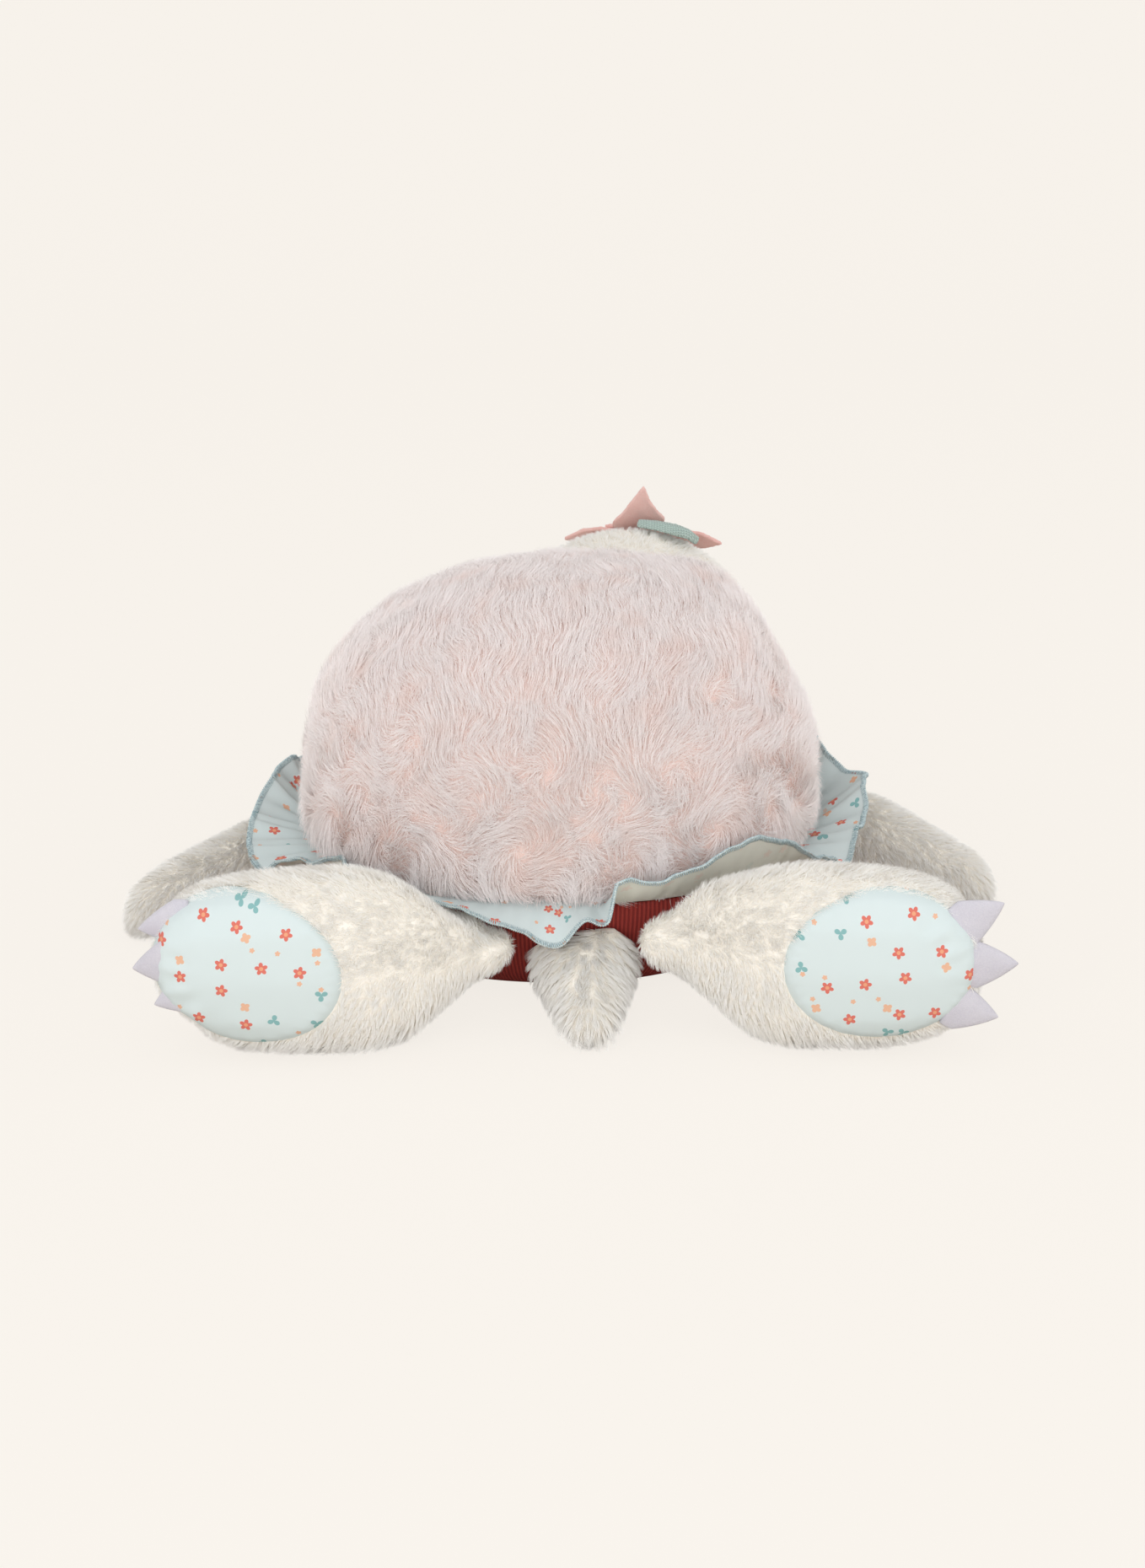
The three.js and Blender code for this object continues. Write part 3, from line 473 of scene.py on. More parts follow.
# %% Roots and locks
def scatter(mesh, points, count, seed):
    """Roots spread evenly over a mesh's faces, with the smooth normal at each."""
    rng = np.random.default_rng(seed)
    groups = faces_of(mesh)
    corner = np.concatenate([g[:, [0, i, i + 1]] for g in groups for i in range(1, g.shape[1] - 1)])
    first, second, third = (points[corner[:, i]] for i in range(3))
    area = np.linalg.norm(np.cross(second - first, third - first), axis=1)
    chosen = np.searchsorted(np.cumsum(area) / area.sum(), rng.random(count))
    share = rng.random((count, 2))
    share = np.where(share.sum(1, keepdims=True) > 1, 1 - share, share)
    weights = np.column_stack([1 - share.sum(1), share])[:, :, None]
    normals = normals_of(mesh)[corner[chosen]]
    return (points[corner[chosen]] * weights).sum(1), unit((normals * weights).sum(1))


def nearest(points, centres):
    """For each point, the number of the nearest centre."""
    tree = KDTree(len(centres))
    for number, centre in enumerate(centres):
        tree.insert(centre, number)
    tree.balance()
    return np.array([tree.find(point)[1] for point in points])


def gathered(paths, locks, pull):
    """Draws each strand towards the middle of its lock, more and more towards the tip."""
    total = locks.max() + 1
    members = np.maximum(np.bincount(locks, minlength=total), 1)
    tips = paths[:, -1]
    sums = np.stack([np.bincount(locks, tips[:, k], total) for k in range(3)], axis=1)
    middle = sums / members[:, None]
    share = np.linspace(0, 1, paths.shape[1])[None, :, None] ** 1.5
    return paths + (middle[locks] - tips)[:, None] * share * pull


def grown(roots, normals, ways, lengths, lift, stations, droop=0.35):
    """Paths of strands that rise from their roots at `lift` and bend over along their ways."""
    along = unit(ways - (ways * normals).sum(1, keepdims=True) * normals)
    share = np.linspace(0, 1, stations)[None, :, None]
    rise = np.sin(lift)[:, None, None] * share * (1 - droop * share)
    reach = np.cos(lift)[:, None, None] * share
    return roots[:, None] + lengths[:, None, None] * (along[:, None] * reach + normals[:, None] * rise)


print("roots can be scattered, grown and gathered")

# %% [markdown]
# A mesh can carry numbers on its points, which a finish reads by their name, and texture maps on its
# corners. Each strand gets its own small square of one map, so that its colour from root to tip can be
# baked.


# %% Numbers and squares
def add_number(mesh, name, values):
    """Gives each point of a mesh a number that its finish can read."""
    layer = mesh.attributes.new(name, "FLOAT", "POINT")
    layer.data.foreach_set("value", np.asarray(values, np.float32))


def add_cells(mesh, share, strand, count):
    """Gives each strand its own square of the texture map, with the root on the left."""
    side = math.ceil(math.sqrt(count))
    turning = np.zeros(len(mesh.loops), np.int32)
    mesh.loops.foreach_get("vertex_index", turning)
    across = 0.2 + 0.6 * (turning % 3) / 2
    cell = strand[turning]
    u = (cell % side + 0.1 + 0.8 * share[turning]) / side
    v = (cell // side + across) / side
    layer = mesh.uv_layers.new(name="OFBake")
    layer.uv.foreach_set("vector", np.column_stack([u, v]).astype(np.float32).ravel())


print("a mesh can carry numbers, and a map of squares")

# %% [markdown]
# A strand is a closed spike with three sides, a few rings and a point, because real geometry keeps its
# look from every side. The strands of a piece share one mesh. Their faces stay flat shaded: a strand is a
# hair's width across, and plain faces pass the light on from strand to strand without losing any.

# %% Strands
FLOOR_GAP = 0.3 * MM
STRAND_FLATNESS = 0.7
STRAND_TAPER = 0.85


def strands(name, paths, width, normals, material, seed):
    """One mesh of closed, tapered, three sided strands along the paths."""
    count, stations, _ = paths.shape
    rings = stations - 1
    rng = np.random.default_rng(seed)
    paths = paths.copy()
    paths[:, :, 2] = np.maximum(paths[:, :, 2], FLOOR_GAP)
    ahead = unit(np.gradient(paths, axis=1))
    side = unit(np.cross(ahead, normals[:, None]))
    up = np.cross(side, ahead)
    corner = np.arange(3) / 3 * TURN + math.pi / 2
    taper = (1 - np.linspace(0, 1, stations)[:-1] ** 1.6 * STRAND_TAPER)[None, :, None, None]
    thick = width / 2 * rng.uniform(0.75, 1.25, (count, 1, 1, 1)) * taper
    sideways = side[:, :-1, None] * np.cos(corner)[:, None]
    raised = up[:, :-1, None] * (np.sin(corner) * STRAND_FLATNESS)[:, None]
    places = (paths[:, :-1, None] + (sideways + raised) * thick).reshape(count, rings * 3, 3)
    points = np.concatenate([places, paths[:, -1:]], axis=1)
    own = rings * 3 + 1
    base = np.arange(count)[:, None] * own
    ring = np.arange(3)
    after = (ring + 1) % 3
    quads = []
    for r in range(0, 3 * rings - 3, 3):
        quads.append(np.stack([after + r, ring + r, ring + r + 3, after + r + 3], 1))
    top = np.stack([after + rings * 3 - 3, ring + rings * 3 - 3, np.full(3, own - 1)], 1)
    triangles = np.concatenate([top, [[0, 1, 2]]])
    groups = [(base[:, :, None] + triangles[None]).reshape(-1, 3)]
    if quads:
        groups.append((base[:, :, None] + np.concatenate(quads)[None]).reshape(-1, 4))
    piece = new_piece(name, points.reshape(-1, 3), groups, material)
    mesh = piece.data
    share = np.repeat(np.linspace(0, 1, stations), [3] * rings + [1])
    add_number(mesh, "along", np.tile(share, count))
    add_number(mesh, "lock", np.repeat(rng.random(count), own))
    add_cells(mesh, np.tile(share, count), np.repeat(np.arange(count), own), count)
    mesh.polygons.foreach_set("use_smooth", np.zeros(len(mesh.polygons), bool))
    return piece


print("each strand is", STRAND_FLATNESS, "as thick as it is wide")

# %% [markdown]
# Most finished pieces are sewn to one body and ride on it. The cover of a limb crosses its root seam,
# so it is kept where it stands, with its place baked into its mesh. The table gives both ends for each
# limb, and the limb's pile leans from the first towards the second.


# %% Sewn to the body
def settled(piece, body, replaces=()):
    """Fixes a piece to a body, and hides the solids that it stands for."""
    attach(piece, body)
    return named(piece, replaces)


def crossing(piece, replaces=()):
    """Bakes the place of a piece that crosses a limb's root seam into its mesh, and hides the solids it
    stands for.
    """
    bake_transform(piece)
    return named(piece, replaces)


def named(piece, replaces):
    """Hides the solids that a piece stands for."""
    if replaces:
        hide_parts(*replaces)
    return piece


BENDS = {
    "hind_leg_left": ((-0.030, -0.115, 0.040), (-0.085, -0.145, 0.040)),
    "hind_leg_right": ((0.055, -0.115, 0.040), (0.110, -0.145, 0.040)),
    "front_leg_left": ((-0.095, 0.068, 0.028), (-0.160, 0.030, 0.028)),
    "front_leg_right": ((0.097, 0.070, 0.028), (0.165, 0.050, 0.028)),
    "head": ((0.035, 0.105, 0.100), (0.038, 0.150, 0.105)),
    "tail": ((0.013, -0.112, 0.030), (0.013, -0.150, 0.020)),
}
print("limbs that bend:", ", ".join(BENDS))

# %% [markdown]
# The underside is terracotta cloth with a fine rib. In the picture only a strip shows between the hind
# legs, deep red where it turns from the light. The rib is a cosine of the angle around the belly, so that
# its cords run upright on every side. A bump raises them, and the tone is painted light and shade: a lit
# red on the cords and a shaded red between them.

# %% Rib cloth
RIB_COUNT = 340
# The lit red is painted light on the cords, and the darker red is painted shade between them.
RIB_LIT = linear(176, 70, 62)
RIB_GROOVE_SHADE = linear(120, 40, 38)


def split(vector):
    """The three numbers of a vector or a colour."""
    return [vector.node("SeparateXYZ", {}, {"Vector": vector}, out=k) for k in range(3)]


def rib_height(start):
    """1 on a cord and 0 between two."""
    across, along, _ = split(start.node("TexCoord", out="Object"))
    return (start.math("ARCTAN2", along, across) * RIB_COUNT).cos() * 0.5 + 0.5


def rib_tone(start):
    """Painted light on the cords and painted shade between them, with flecks of fibre."""
    fleck = noise(start, 0.8 * MM, Detail=3.0)
    return (rib_height(start) * 0.7 + fleck * 0.3).mix(RIB_GROOVE_SHADE, RIB_LIT)


rib_cloth = finish_of(
    "rib_cloth", "rib_cloth", rib_tone, sheen=0.3, sheen_tint=RIB_LIT, bump=rib_height, depth=0.6 * MM
)
print(RIB_COUNT, "ribs around the belly")

# %% [markdown]
# The body is two panels sewn together: a dome above the seam and a dish below it. Both are rounded in
# plan, a little squarer than an ellipse, so each is a stack of rings. The dome is widest just above its
# seam, swells at the crown, and is a little flat at one shoulder, where the picture shows the stuffing
# slack.

# %% Rings of the body
PLAN_ROUNDNESS = 1.075
DOME_ROUNDNESS = 1.2
RING_SIDES = 160
SEAM_TUCK = 10 * MM
WIDEST_SHARE = 0.19
REST_SHARE = 0.66
CROWN_SWELL = 5 * MM
SHOULDER_FLAT = 3 * MM
DOME_PRESSES = [
    ((84, 40, 178), 34, (3, 2, 5)),
    ((-130, 0, 110), 50, (2, 0, 0)),
    ((130, 0, 110), 50, (2, 0, 0)),
]

belly_half = (belly_high[:2] - belly_low[:2]) / 2
shell_half = (shell_high[:2] - shell_low[:2]) / 2
shell_points = points_of(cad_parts["shell_cover"].data)
crown_shift = shell_points[shell_points[:, 2].argmax(), 0]


def plan_point(half, angle):
    """A point of the body's plan outline at an angle, or at an array of them."""
    flat = np.stack([np.cos(angle), np.sin(angle)], axis=-1)
    return half * np.sign(flat) * np.abs(flat) ** (1 / PLAN_ROUNDNESS)


def body_ring(half, height):
    """One level ring of the body's plan."""
    flat = plan_point(half, np.arange(RING_SIDES) / RING_SIDES * TURN)
    return np.column_stack([flat, np.full(RING_SIDES, height)])


def dome_rings(inset, rows=44, tucks=8):
    """Rings of the dome from near its crown down to the seam."""
    widest = shell_low[2] + (shell_high[2] - shell_low[2]) * WIDEST_SHARE
    rise = shell_high[2] - widest - inset
    half = shell_half - inset
    rings = []
    for angle in np.linspace(0, TURN / 4, rows + 1)[1:]:
        spread = math.sin(angle) ** (1 / DOME_ROUNDNESS)
        up = max(math.cos(angle), 0) ** (1 / DOME_ROUNDNESS)
        ring = body_ring(half * spread, widest + rise * up)
        swell = CROWN_SWELL * up ** 3
        swell = swell - SHOULDER_FLAT * math.exp(-((up - 0.6) / 0.2) ** 2) * (ring[:, 0] / half[0] + 0.4)
        ring[:, :2] *= (1 + swell / half.mean())[:, None]
        ring[:, 0] += crown_shift * up ** 3
        ring[:, 2] += swell * up
        rings.append(ring)
    for angle in np.linspace(0, TURN / 4, tucks + 1)[1:]:
        drawn = SEAM_TUCK * (1 - math.cos(angle))
        rings.append(body_ring(half - drawn, widest - (widest - shell_low[2]) * math.sin(angle)))
    return [moulded(ring, DOME_PRESSES) for ring in rings]


def dish_rings(inset, rows=20):
    """Rings of the belly from the flat patch that it rests on up to the seam."""
    rings = [body_ring((belly_half - inset) * REST_SHARE * share, inset) for share in (0.3, 0.55, 0.8)]
    for angle in np.linspace(TURN / 4, 0, rows + 1):
        spread = REST_SHARE + (1 - REST_SHARE) * math.cos(angle)
        height = inset + (belly_high[2] - inset) * (1 - math.sin(angle))
        rings.append(body_ring((belly_half - inset) * spread, height))
    return rings


print("crown stands", round(crown_shift, 3), "m beside the middle")

# %% [markdown]
# A panel is cloth with a thickness: one stack of rings outside, one inside, and a pole that closes each
# at the crown. The dome's backing is drawn in by the depth of its pile, so that the tips of the fur end
# near the solid's own skin.

# %% Body panels
PILE_DEPTH = 6.5 * MM
CLOTH = 2 * MM
BELLY_INSET = 0.3 * MM


def panel(name, outer, inner, poles, upward, material):
    """A closed panel between two stacks of rings, each of which starts at a pole."""
    rings = np.stack(outer + inner[::-1])
    numbers = np.arange(rings.shape[0] * RING_SIDES).reshape(-1, RING_SIDES)
    points = np.concatenate([rings.reshape(-1, 3), poles])
    first, last = numbers[0], numbers[-1]
    caps = [
        np.stack([first, np.roll(first, -1), np.full(RING_SIDES, len(points) - 2)], axis=-1),
        np.stack([np.roll(last, -1), last, np.full(RING_SIDES, len(points) - 1)], axis=-1),
    ]
    groups = [np.concatenate(caps), band(numbers)[:, ::-1]]
    if not upward:
        groups = [group[:, ::-1] for group in groups]
    return new_piece(name, points, groups, material)


dome_top = shell_high[2] - PILE_DEPTH + CROWN_SWELL
shell_backing = panel(
    "shell_backing", dome_rings(PILE_DEPTH), dome_rings(PILE_DEPTH + CLOTH),
    [[crown_shift, 0, dome_top], [crown_shift, 0, dome_top - CLOTH]], True, pink_backing,
)
settled(shell_backing, "body", ["shell_cover"])
belly = panel(
    "belly_cloth", dish_rings(BELLY_INSET), dish_rings(BELLY_INSET + CLOTH),
    [[0, 0, BELLY_INSET], [0, 0, BELLY_INSET + CLOTH]], False, rib_cloth,
)
settled(belly, "body", ["belly_panel"])
print("panels", len(shell_backing.data.polygons), len(belly.data.polygons), "faces")

# %% [markdown]
# The shell's pile is long, about 18 mm. The tables give its nap from the seam up to the crown: how much
# it climbs, how much it turns, how steeply it stands and how long it is. Near the seam it hangs, and near
# the crown it is combed up. Between them it runs in whorls, which are the slope of a smooth random height,
# turned a quarter round. Strands that follow such a field never all leave one point, so no bare star opens
# in the fur.

# %% Nap of the shell
SHELL_STRANDS = 19000
SHELL_PIECES = 7
WHORL = 40 * MM
WHORL_FORCE = 2.2
FINE_WHORL_SHARE = 0.45
NAP_HEIGHTS = [0, 0.12, 0.28, 0.55, 1]
NAP_CLIMB = [-1.6, -0.9, 0.35, 0.9, 1.3]
NAP_TURN = [0.3, 0.8, 1.0, 0.5, 0.15]
NAP_LIFT = [42, 30, 28, 26, 26]
NAP_LENGTH = [1.3, 1.2, 1.0, 0.95, 0.9]


def dome_skin():
    """The outer rings of the dome alone: where the pile is rooted."""
    rings = np.stack(dome_rings(PILE_DEPTH))
    numbers = np.arange(rings.shape[0] * RING_SIDES).reshape(-1, RING_SIDES)
    points = np.concatenate([rings.reshape(-1, 3), [[crown_shift, 0, dome_top]]])
    cap = np.stack([numbers[0], np.roll(numbers[0], -1), np.full(RING_SIDES, len(points) - 1)], axis=-1)
    return new_piece("dome_skin", points, [cap, band(numbers)[:, ::-1]], pink_backing)


def swirl(points, normals, size, seed):
    """Directions in the skin that run in whorls: the slope of a smooth height, turned a quarter round."""
    step = size / 40
    level = waves(points, size, seed)
    slope = np.stack([waves(points + step * axis, size, seed) - level for axis in np.eye(3)], axis=1)
    return np.cross(normals, slope) * (WHORL_FORCE * size / TURN / step)


skin = dome_skin()
roots, root_normals = scatter(skin.data, points_of(skin.data), SHELL_STRANDS * SHELL_PIECES, 11)
bpy.data.objects.remove(skin)
upward = np.array([0, 0.5, 0.87])
climb = upward - root_normals * (root_normals @ upward)[:, None]
height_share = (roots[:, 2] - shell_low[2]) / (shell_high[2] - shell_low[2])
nap, calm, raised, longer = (
    np.interp(height_share, NAP_HEIGHTS, row) for row in (NAP_CLIMB, NAP_TURN, NAP_LIFT, NAP_LENGTH)
)
turning = swirl(roots, root_normals, WHORL, 21)
turning = turning + swirl(roots, root_normals, WHORL / 2.5, 31) * FINE_WHORL_SHARE
print("shell roots", len(roots))

# %% [markdown]
# Strands are drawn together twice: loosely in wide locks, and harder in small tufts. About a fifth is a
# short undercoat that lies every way and keeps the backing out of sight. The tips that hang over the
# frill's seam end in an uneven hem, whose height round the toy is a table with some noise on it.

# %% Long pile
PILE_LENGTH = 18 * MM
PILE_WIDTH = 0.27 * MM
PILE_SEED = 60
UNDERCOAT_SHARE = 0.18
UNDERCOAT_LENGTH = 0.62
LOCK_EVERY = 60
LOCK_SPREAD = 0.14
LOCK_PULL = 0.1
TUFT_EVERY = 6
TUFT_PULL = 0.3
STRAND_SPREAD = 0.2
LIFT_SPREAD = 7
CALM_LIFT = 6
HEM_TURNS = [-126, -116, -110, -100, -96, -84, -80]
HEM_DROPS = [3, -7, -13, -18, -10, -8, 3]
HEM_NOISE = 2.5 * MM

rng = np.random.default_rng(12)
locks = nearest(roots, roots[::LOCK_EVERY])
stray = rng.normal(0, LOCK_SPREAD, (locks.max() + 1, 3))[locks]
ways = nap[:, None] * climb + turning * calm[:, None] + stray
force = np.clip(np.linalg.norm(ways, axis=1), 0, 1)
ways = ways + rng.normal(0, STRAND_SPREAD, ways.shape)
undercoat = rng.random(len(roots)) < UNDERCOAT_SHARE
ways = np.where(undercoat[:, None], rng.normal(0, 1, ways.shape), ways)
lift = np.radians(raised + CALM_LIFT * (1 - force) + rng.normal(0, LIFT_SPREAD, len(roots)))
lengths = PILE_LENGTH * longer * rng.uniform(0.6, 1.1, len(roots)) * (1 + 0.08 * waves(roots, 30 * MM, 43))
lengths = np.where(undercoat, UNDERCOAT_LENGTH, 1) * lengths
paths = grown(roots, root_normals, ways, lengths, lift, 3)
paths = gathered(paths, locks, LOCK_PULL)
paths = gathered(paths, nearest(roots, roots[::TUFT_EVERY]), TUFT_PULL)
around = np.degrees(np.arctan2(paths[:, :, 1], paths[:, :, 0]))
hem = np.interp(around, HEM_TURNS, HEM_DROPS) * MM + seam_height
hem = hem + HEM_NOISE * waves(roots, 9 * MM, 47)[:, None]
paths[:, :, 2] = np.maximum(paths[:, :, 2], hem)
for number in range(SHELL_PIECES):
    part = slice(number, None, SHELL_PIECES)
    name = f"shell_pile_{number + 1}"
    pile = strands(name, paths[part], PILE_WIDTH, root_normals[part], long_pile, PILE_SEED + number)
    settled(pile, "body", ["shell_cover"])
print("shell pile", len(roots), "strands in", SHELL_PIECES, "pieces")

# %% [markdown]
# No two limbs of a sewn toy are filled alike. These tables say where a limb is fuller than its solids,
# and where it is pushed in or pulled out. A handful has a middle and three half widths, and a press has a
# middle, a radius and a push, all in mm. Most of them shape the left hind leg and the front petals.

# %% Shape of each limb
HANDFULS = {
    "hind_leg_left": [
        ((-48, -138, 43), (29, 20, 20)),
        ((-60, -140, 41), (30, 21, 22)),
        ((-72, -142, 40), (32, 21, 26)),
    ],
    "hind_leg_right": [((72, -138, 43), (30, 17, 18))],
}
PRESSES = {
    "hind_leg_left": [
        ((-45, -138, 74), 30, (0, -2, -16)),
        ((-78, -170, 8), 34, (0, -3, -5)),
        ((-186, -190, 14), 16, (8, 0, 3)),
    ],
    "hind_leg_right": [((56, -128, 40), 20, (-7, -4, 0)), ((95, -172, 8), 30, (0, -2, -4))],
    "flower_petals_outer": [
        ((38, 206, 169), 8, (-9, 0, -3)),
        ((58, 206, 172), 8, (4, 0, 0)),
        ((47, 192, 192), 7, (1.5, 0, 3)),
    ],
    "front_leg_right": [((175, 62, 44), 34, (0, 0, 8))],
    "leaf": [((90, 190, 160), 17, (-9, 0, 2)), ((62, 190, 170), 12, (0, 0, -1.2))],
    "head": [((101, 145, 155), 38, (-19, 0, -12))],
}
print(sum(map(len, HANDFULS.values())), "handfuls,", sum(map(len, PRESSES.values())), "presses")

# %% [markdown]
# A hind leg has a faint seam along its side, where the pile parts: above it the strands lie along the leg,
# and below it they hang. No strand is rooted inside the body, because the cloth there is sewn in.

# %% Seams of the limbs
PARTING = 9 * MM
PARTING_LINES = {"hind_leg_left": ((-100, 45), (-43, 38)), "hind_leg_right": ((48, 44), (110, 50))}
ROOM = 0.4 * MM

body_tree = tree_of(
    np.concatenate([points_of(shell_backing.data), points_of(belly.data)]),
    faces_of(shell_backing.data) + [f + len(shell_backing.data.vertices) for f in faces_of(belly.data)],
)


def clear_of_body(points):
    """Which points are clear of the body's cloth."""
    found = [body_tree.find_nearest(point) for point in points]
    depth = [(Vector(point) - spot).dot(way) for point, (spot, way, _, _) in zip(points.tolist(), found)]
    return np.array(depth) > ROOM


def parted(points, limb):
    """Height over the limb's side seam, as a share of the parting there. A limb without one is all below."""
    if limb not in PARTING_LINES:
        return np.full(len(points), -1.0)
    (start, start_height), (end, end_height) = PARTING_LINES[limb]
    seam = np.interp(points[:, 0], [start * MM, end * MM], [start_height * MM, end_height * MM])
    return np.clip((points[:, 2] - seam) / PARTING, -1, 1)


print("pile parts over", 2 * PARTING, "m at a side seam")

# %% [markdown]
# Every limb is a plush bag. Its backing crosses the root seam, and is kept where it stands. The short
# pile is one straight spike a strand, 7.5 mm long, that leans along the limb, hangs a little and is drawn
# into small tufts. It is longer where a limb lies on the floor, as the pile spreads there.

# %% Plush limbs
PLUSH_DEPTH = 2.6 * MM
PLUSH_LENGTH = 7.5 * MM
PLUSH_WIDTH = 0.42 * MM
PLUSH_LIFT = 42
TAIL_LIFT = 34
PLUSH_ALONG = 0.45
PLUSH_WHORL = 14 * MM
PLUSH_TURN = 0.14
PLUSH_SPREAD = 0.3
LIMB_STRANDS = 48000
TAIL_STRANDS = 13000


def plush_limb(limb, nodes, count=LIMB_STRANDS, keep=None, fall=0.7, longer=1, tuft=13):
    """The backing and the pile of one limb. Gives back its form, on which other pieces can lie."""
    form = stuffed_form(nodes, extra=HANDFULS.get(limb, []))
    places = moulded(points_of(form), PRESSES.get(limb, []))
    form.vertices.foreach_set("co", places.astype(np.float32).ravel())
    form.update()
    inner = drawn_in(form, PLUSH_DEPTH)
    backing = new_piece(limb + "_backing", inner, faces_of(form), cream_backing)
    spots, normals = scatter(form, inner, count, sum(map(ord, limb)))
    kept = clear_of_body(spots)
    if keep is not None:
        kept &= keep(spots + normals * PLUSH_DEPTH)
    spots, normals = spots[kept], normals[kept]
    start, end = (np.array(place) for place in BENDS[limb])
    out = unit((end - start)[None])
    above = parted(spots, limb)
    hang = np.interp(above, [-0.4, 0.4], [-fall, 0.1])[:, None] * np.array([0, 0, 1.0])
    rng = np.random.default_rng(len(spots))
    ways = out * PLUSH_ALONG + swirl(spots, normals, PLUSH_WHORL, 5) * PLUSH_TURN + hang
    ways = ways + rng.normal(0, PLUSH_SPREAD, spots.shape)
    lift = np.radians(rng.normal(TAIL_LIFT if limb == "tail" else PLUSH_LIFT, 9, len(spots)))
    shorter = np.interp(abs(above), [0, 1], [0.8, 1])
    lengths = PLUSH_LENGTH * longer * rng.uniform(0.7, 1.2, len(spots)) * shorter
    lengths = lengths * np.interp(spots[:, 2], [6 * MM, 22 * MM], [1.5, 1])
    paths = grown(spots, normals, ways, lengths, lift, 2)
    pull = np.interp(above, [-0.5, 0.2], [0.68, 0.42])[:, None, None]
    paths = gathered(paths, nearest(spots, spots[::tuft]), pull)
    pile = strands(limb + "_pile", paths, PLUSH_WIDTH, normals, cream_plush, len(spots))
    crossing(backing, nodes[:1])
    crossing(pile)
    print(limb, len(backing.data.polygons), "faces,", len(spots), "strands")
    return form


# %% [markdown]
# The tail and the front legs are the same plush bag, so one function makes them all. The tail's pile is
# longer, hangs more and sticks together in wider tufts.

# %% Tail and front legs
plush_limb("tail", ["tail_cover", "tail_filling"], TAIL_STRANDS, fall=1.6, longer=1.4, tuft=30)
for hand in ("left", "right"):
    plush_limb("front_leg_" + hand, ["front_leg_cover_" + hand, "front_leg_filling_" + hand])

# %% [markdown]
# Printed cotton carries small scattered flowers. This print is a generic one of our own. The cloth is
# divided into uneven cells, each cell has one motif, and each motif is a curve in the cell's own turned
# coordinates: the distance from the centre is compared with a radius that changes with the angle.

# %% Motifs of the print
MOTIF_CELL = 18 * MM
MOTIF_RADIUS = 3.3 * MM
BERRY_RADIUS = 1.4 * MM


def motif_field(start, cell, radius):
    """For each cell of the print: place in the motif as distance and angle, and three random numbers."""
    place = start.node("UVMap", {"uv_map": "Cloth"})
    spot = {"Vector": place, "Scale": 1 / cell, "Randomness": 0.8}
    settings = {"voronoi_dimensions": "2D", "feature": "F1"}
    own = start.node("TexVoronoi", settings, spot, out="Position")
    chance = split(start.node("TexVoronoi", settings, spot, out="Color"))
    away = start.node("VectorMath", {"operation": "SUBTRACT"}, {0: place, 1: own})
    x, y, _ = split(away)
    distance = away.node("VectorMath", {"operation": "LENGTH"}, {0: away}, out="Value") / radius
    angle = start.math("ARCTAN2", y, x) + chance[0] * TURN
    return distance, angle, chance


def petals(distance, angle, count, depth):
    """1 inside a flower with rounded petals, and 0 outside."""
    reach = abs((angle * (count / 2)).cos()) * depth + (1 - depth)
    return (reach - distance).between(-0.06, 0.06)


print("print cells", MOTIF_CELL, "m")

# %% [markdown]
# The inks are laid over the mint ground one after the other, as a printer's rollers do. A cell's random
# number says which motif it gets. On the wrong side of the cloth the ground is warmer, and the ink is a
# faint ghost. The weave is too fine to see from afar, so it is two sines in the bump.

# %% Printed cotton
COTTON = linear(219, 231, 231)
COTTON_BACK = linear(228, 229, 218)
CORAL = linear(226, 100, 78)
PEACH = linear(240, 180, 140)
TEAL = linear(110, 175, 175)
COTTON_THREAD = 0.5 * MM
FLOWERS_FROM = 0.49
BLOSSOMS_FROM = 0.24
BERRIES_FROM = 0.78
GHOST = 0.88


def print_tone(start):
    """The ground, and each motif's ink over it."""
    distance, angle, chance = motif_field(start, MOTIF_CELL, MOTIF_RADIUS)
    is_flower = chance[1].between(FLOWERS_FROM, FLOWERS_FROM + 0.01)
    is_blossom = chance[1].between(BLOSSOMS_FROM, BLOSSOMS_FROM + 0.01)
    flower = petals(distance, angle, 5, 0.5) * is_flower
    blossom = petals(distance / 0.8, angle, 4, 0.4) * is_blossom * (1 - is_flower)
    sprig = petals(distance, angle, 3, 0.85) * (1 - is_blossom)
    heart = (0.3 - distance).between(-0.05, 0.05)
    distance, angle, chance = motif_field(start, MOTIF_CELL * 0.73, BERRY_RADIUS)
    berry = petals(distance, angle, 5, 0.35) * chance[1].between(BERRIES_FROM, BERRIES_FROM + 0.01)
    wrong = start.node("Attribute", {"attribute_name": "wrong_side"}, out="Fac")
    ink = 1 - wrong * GHOST
    tone = wrong.mix(COTTON, COTTON_BACK)
    inks = [(berry, 0.85, PEACH), (sprig, 0.8, TEAL), (blossom, 0.85, PEACH), (flower, 0.9, CORAL)]
    for motif, strength, colour in inks + [(flower * heart, 0.8, PEACH)]:
        tone = (motif * ink * strength).mix(tone, colour)
    return tone


def plain_weave(start):
    """Threads that cross over and under."""
    x, y, _ = split(start.node("UVMap", {"uv_map": "Cloth"}))
    threads = TURN / COTTON_THREAD
    return (x * threads).sin() * (y * threads).sin() * 0.5 + 0.5


printed_cotton = finish_of(
    "printed_cotton", "printed_cotton", print_tone, roughness=0.85, bump=plain_weave, depth=0.08 * MM
)


def add_cloth_map(mesh, flat):
    """A texture map in metres, from each point's place on the flat cloth."""
    turning = np.zeros(len(mesh.loops), np.int32)
    mesh.loops.foreach_get("vertex_index", turning)
    layer = mesh.uv_layers.new(name="Cloth")
    layer.uv.foreach_set("vector", flat[turning].astype(np.float32).ravel())


print("cotton threads", COTTON_THREAD, "m apart")

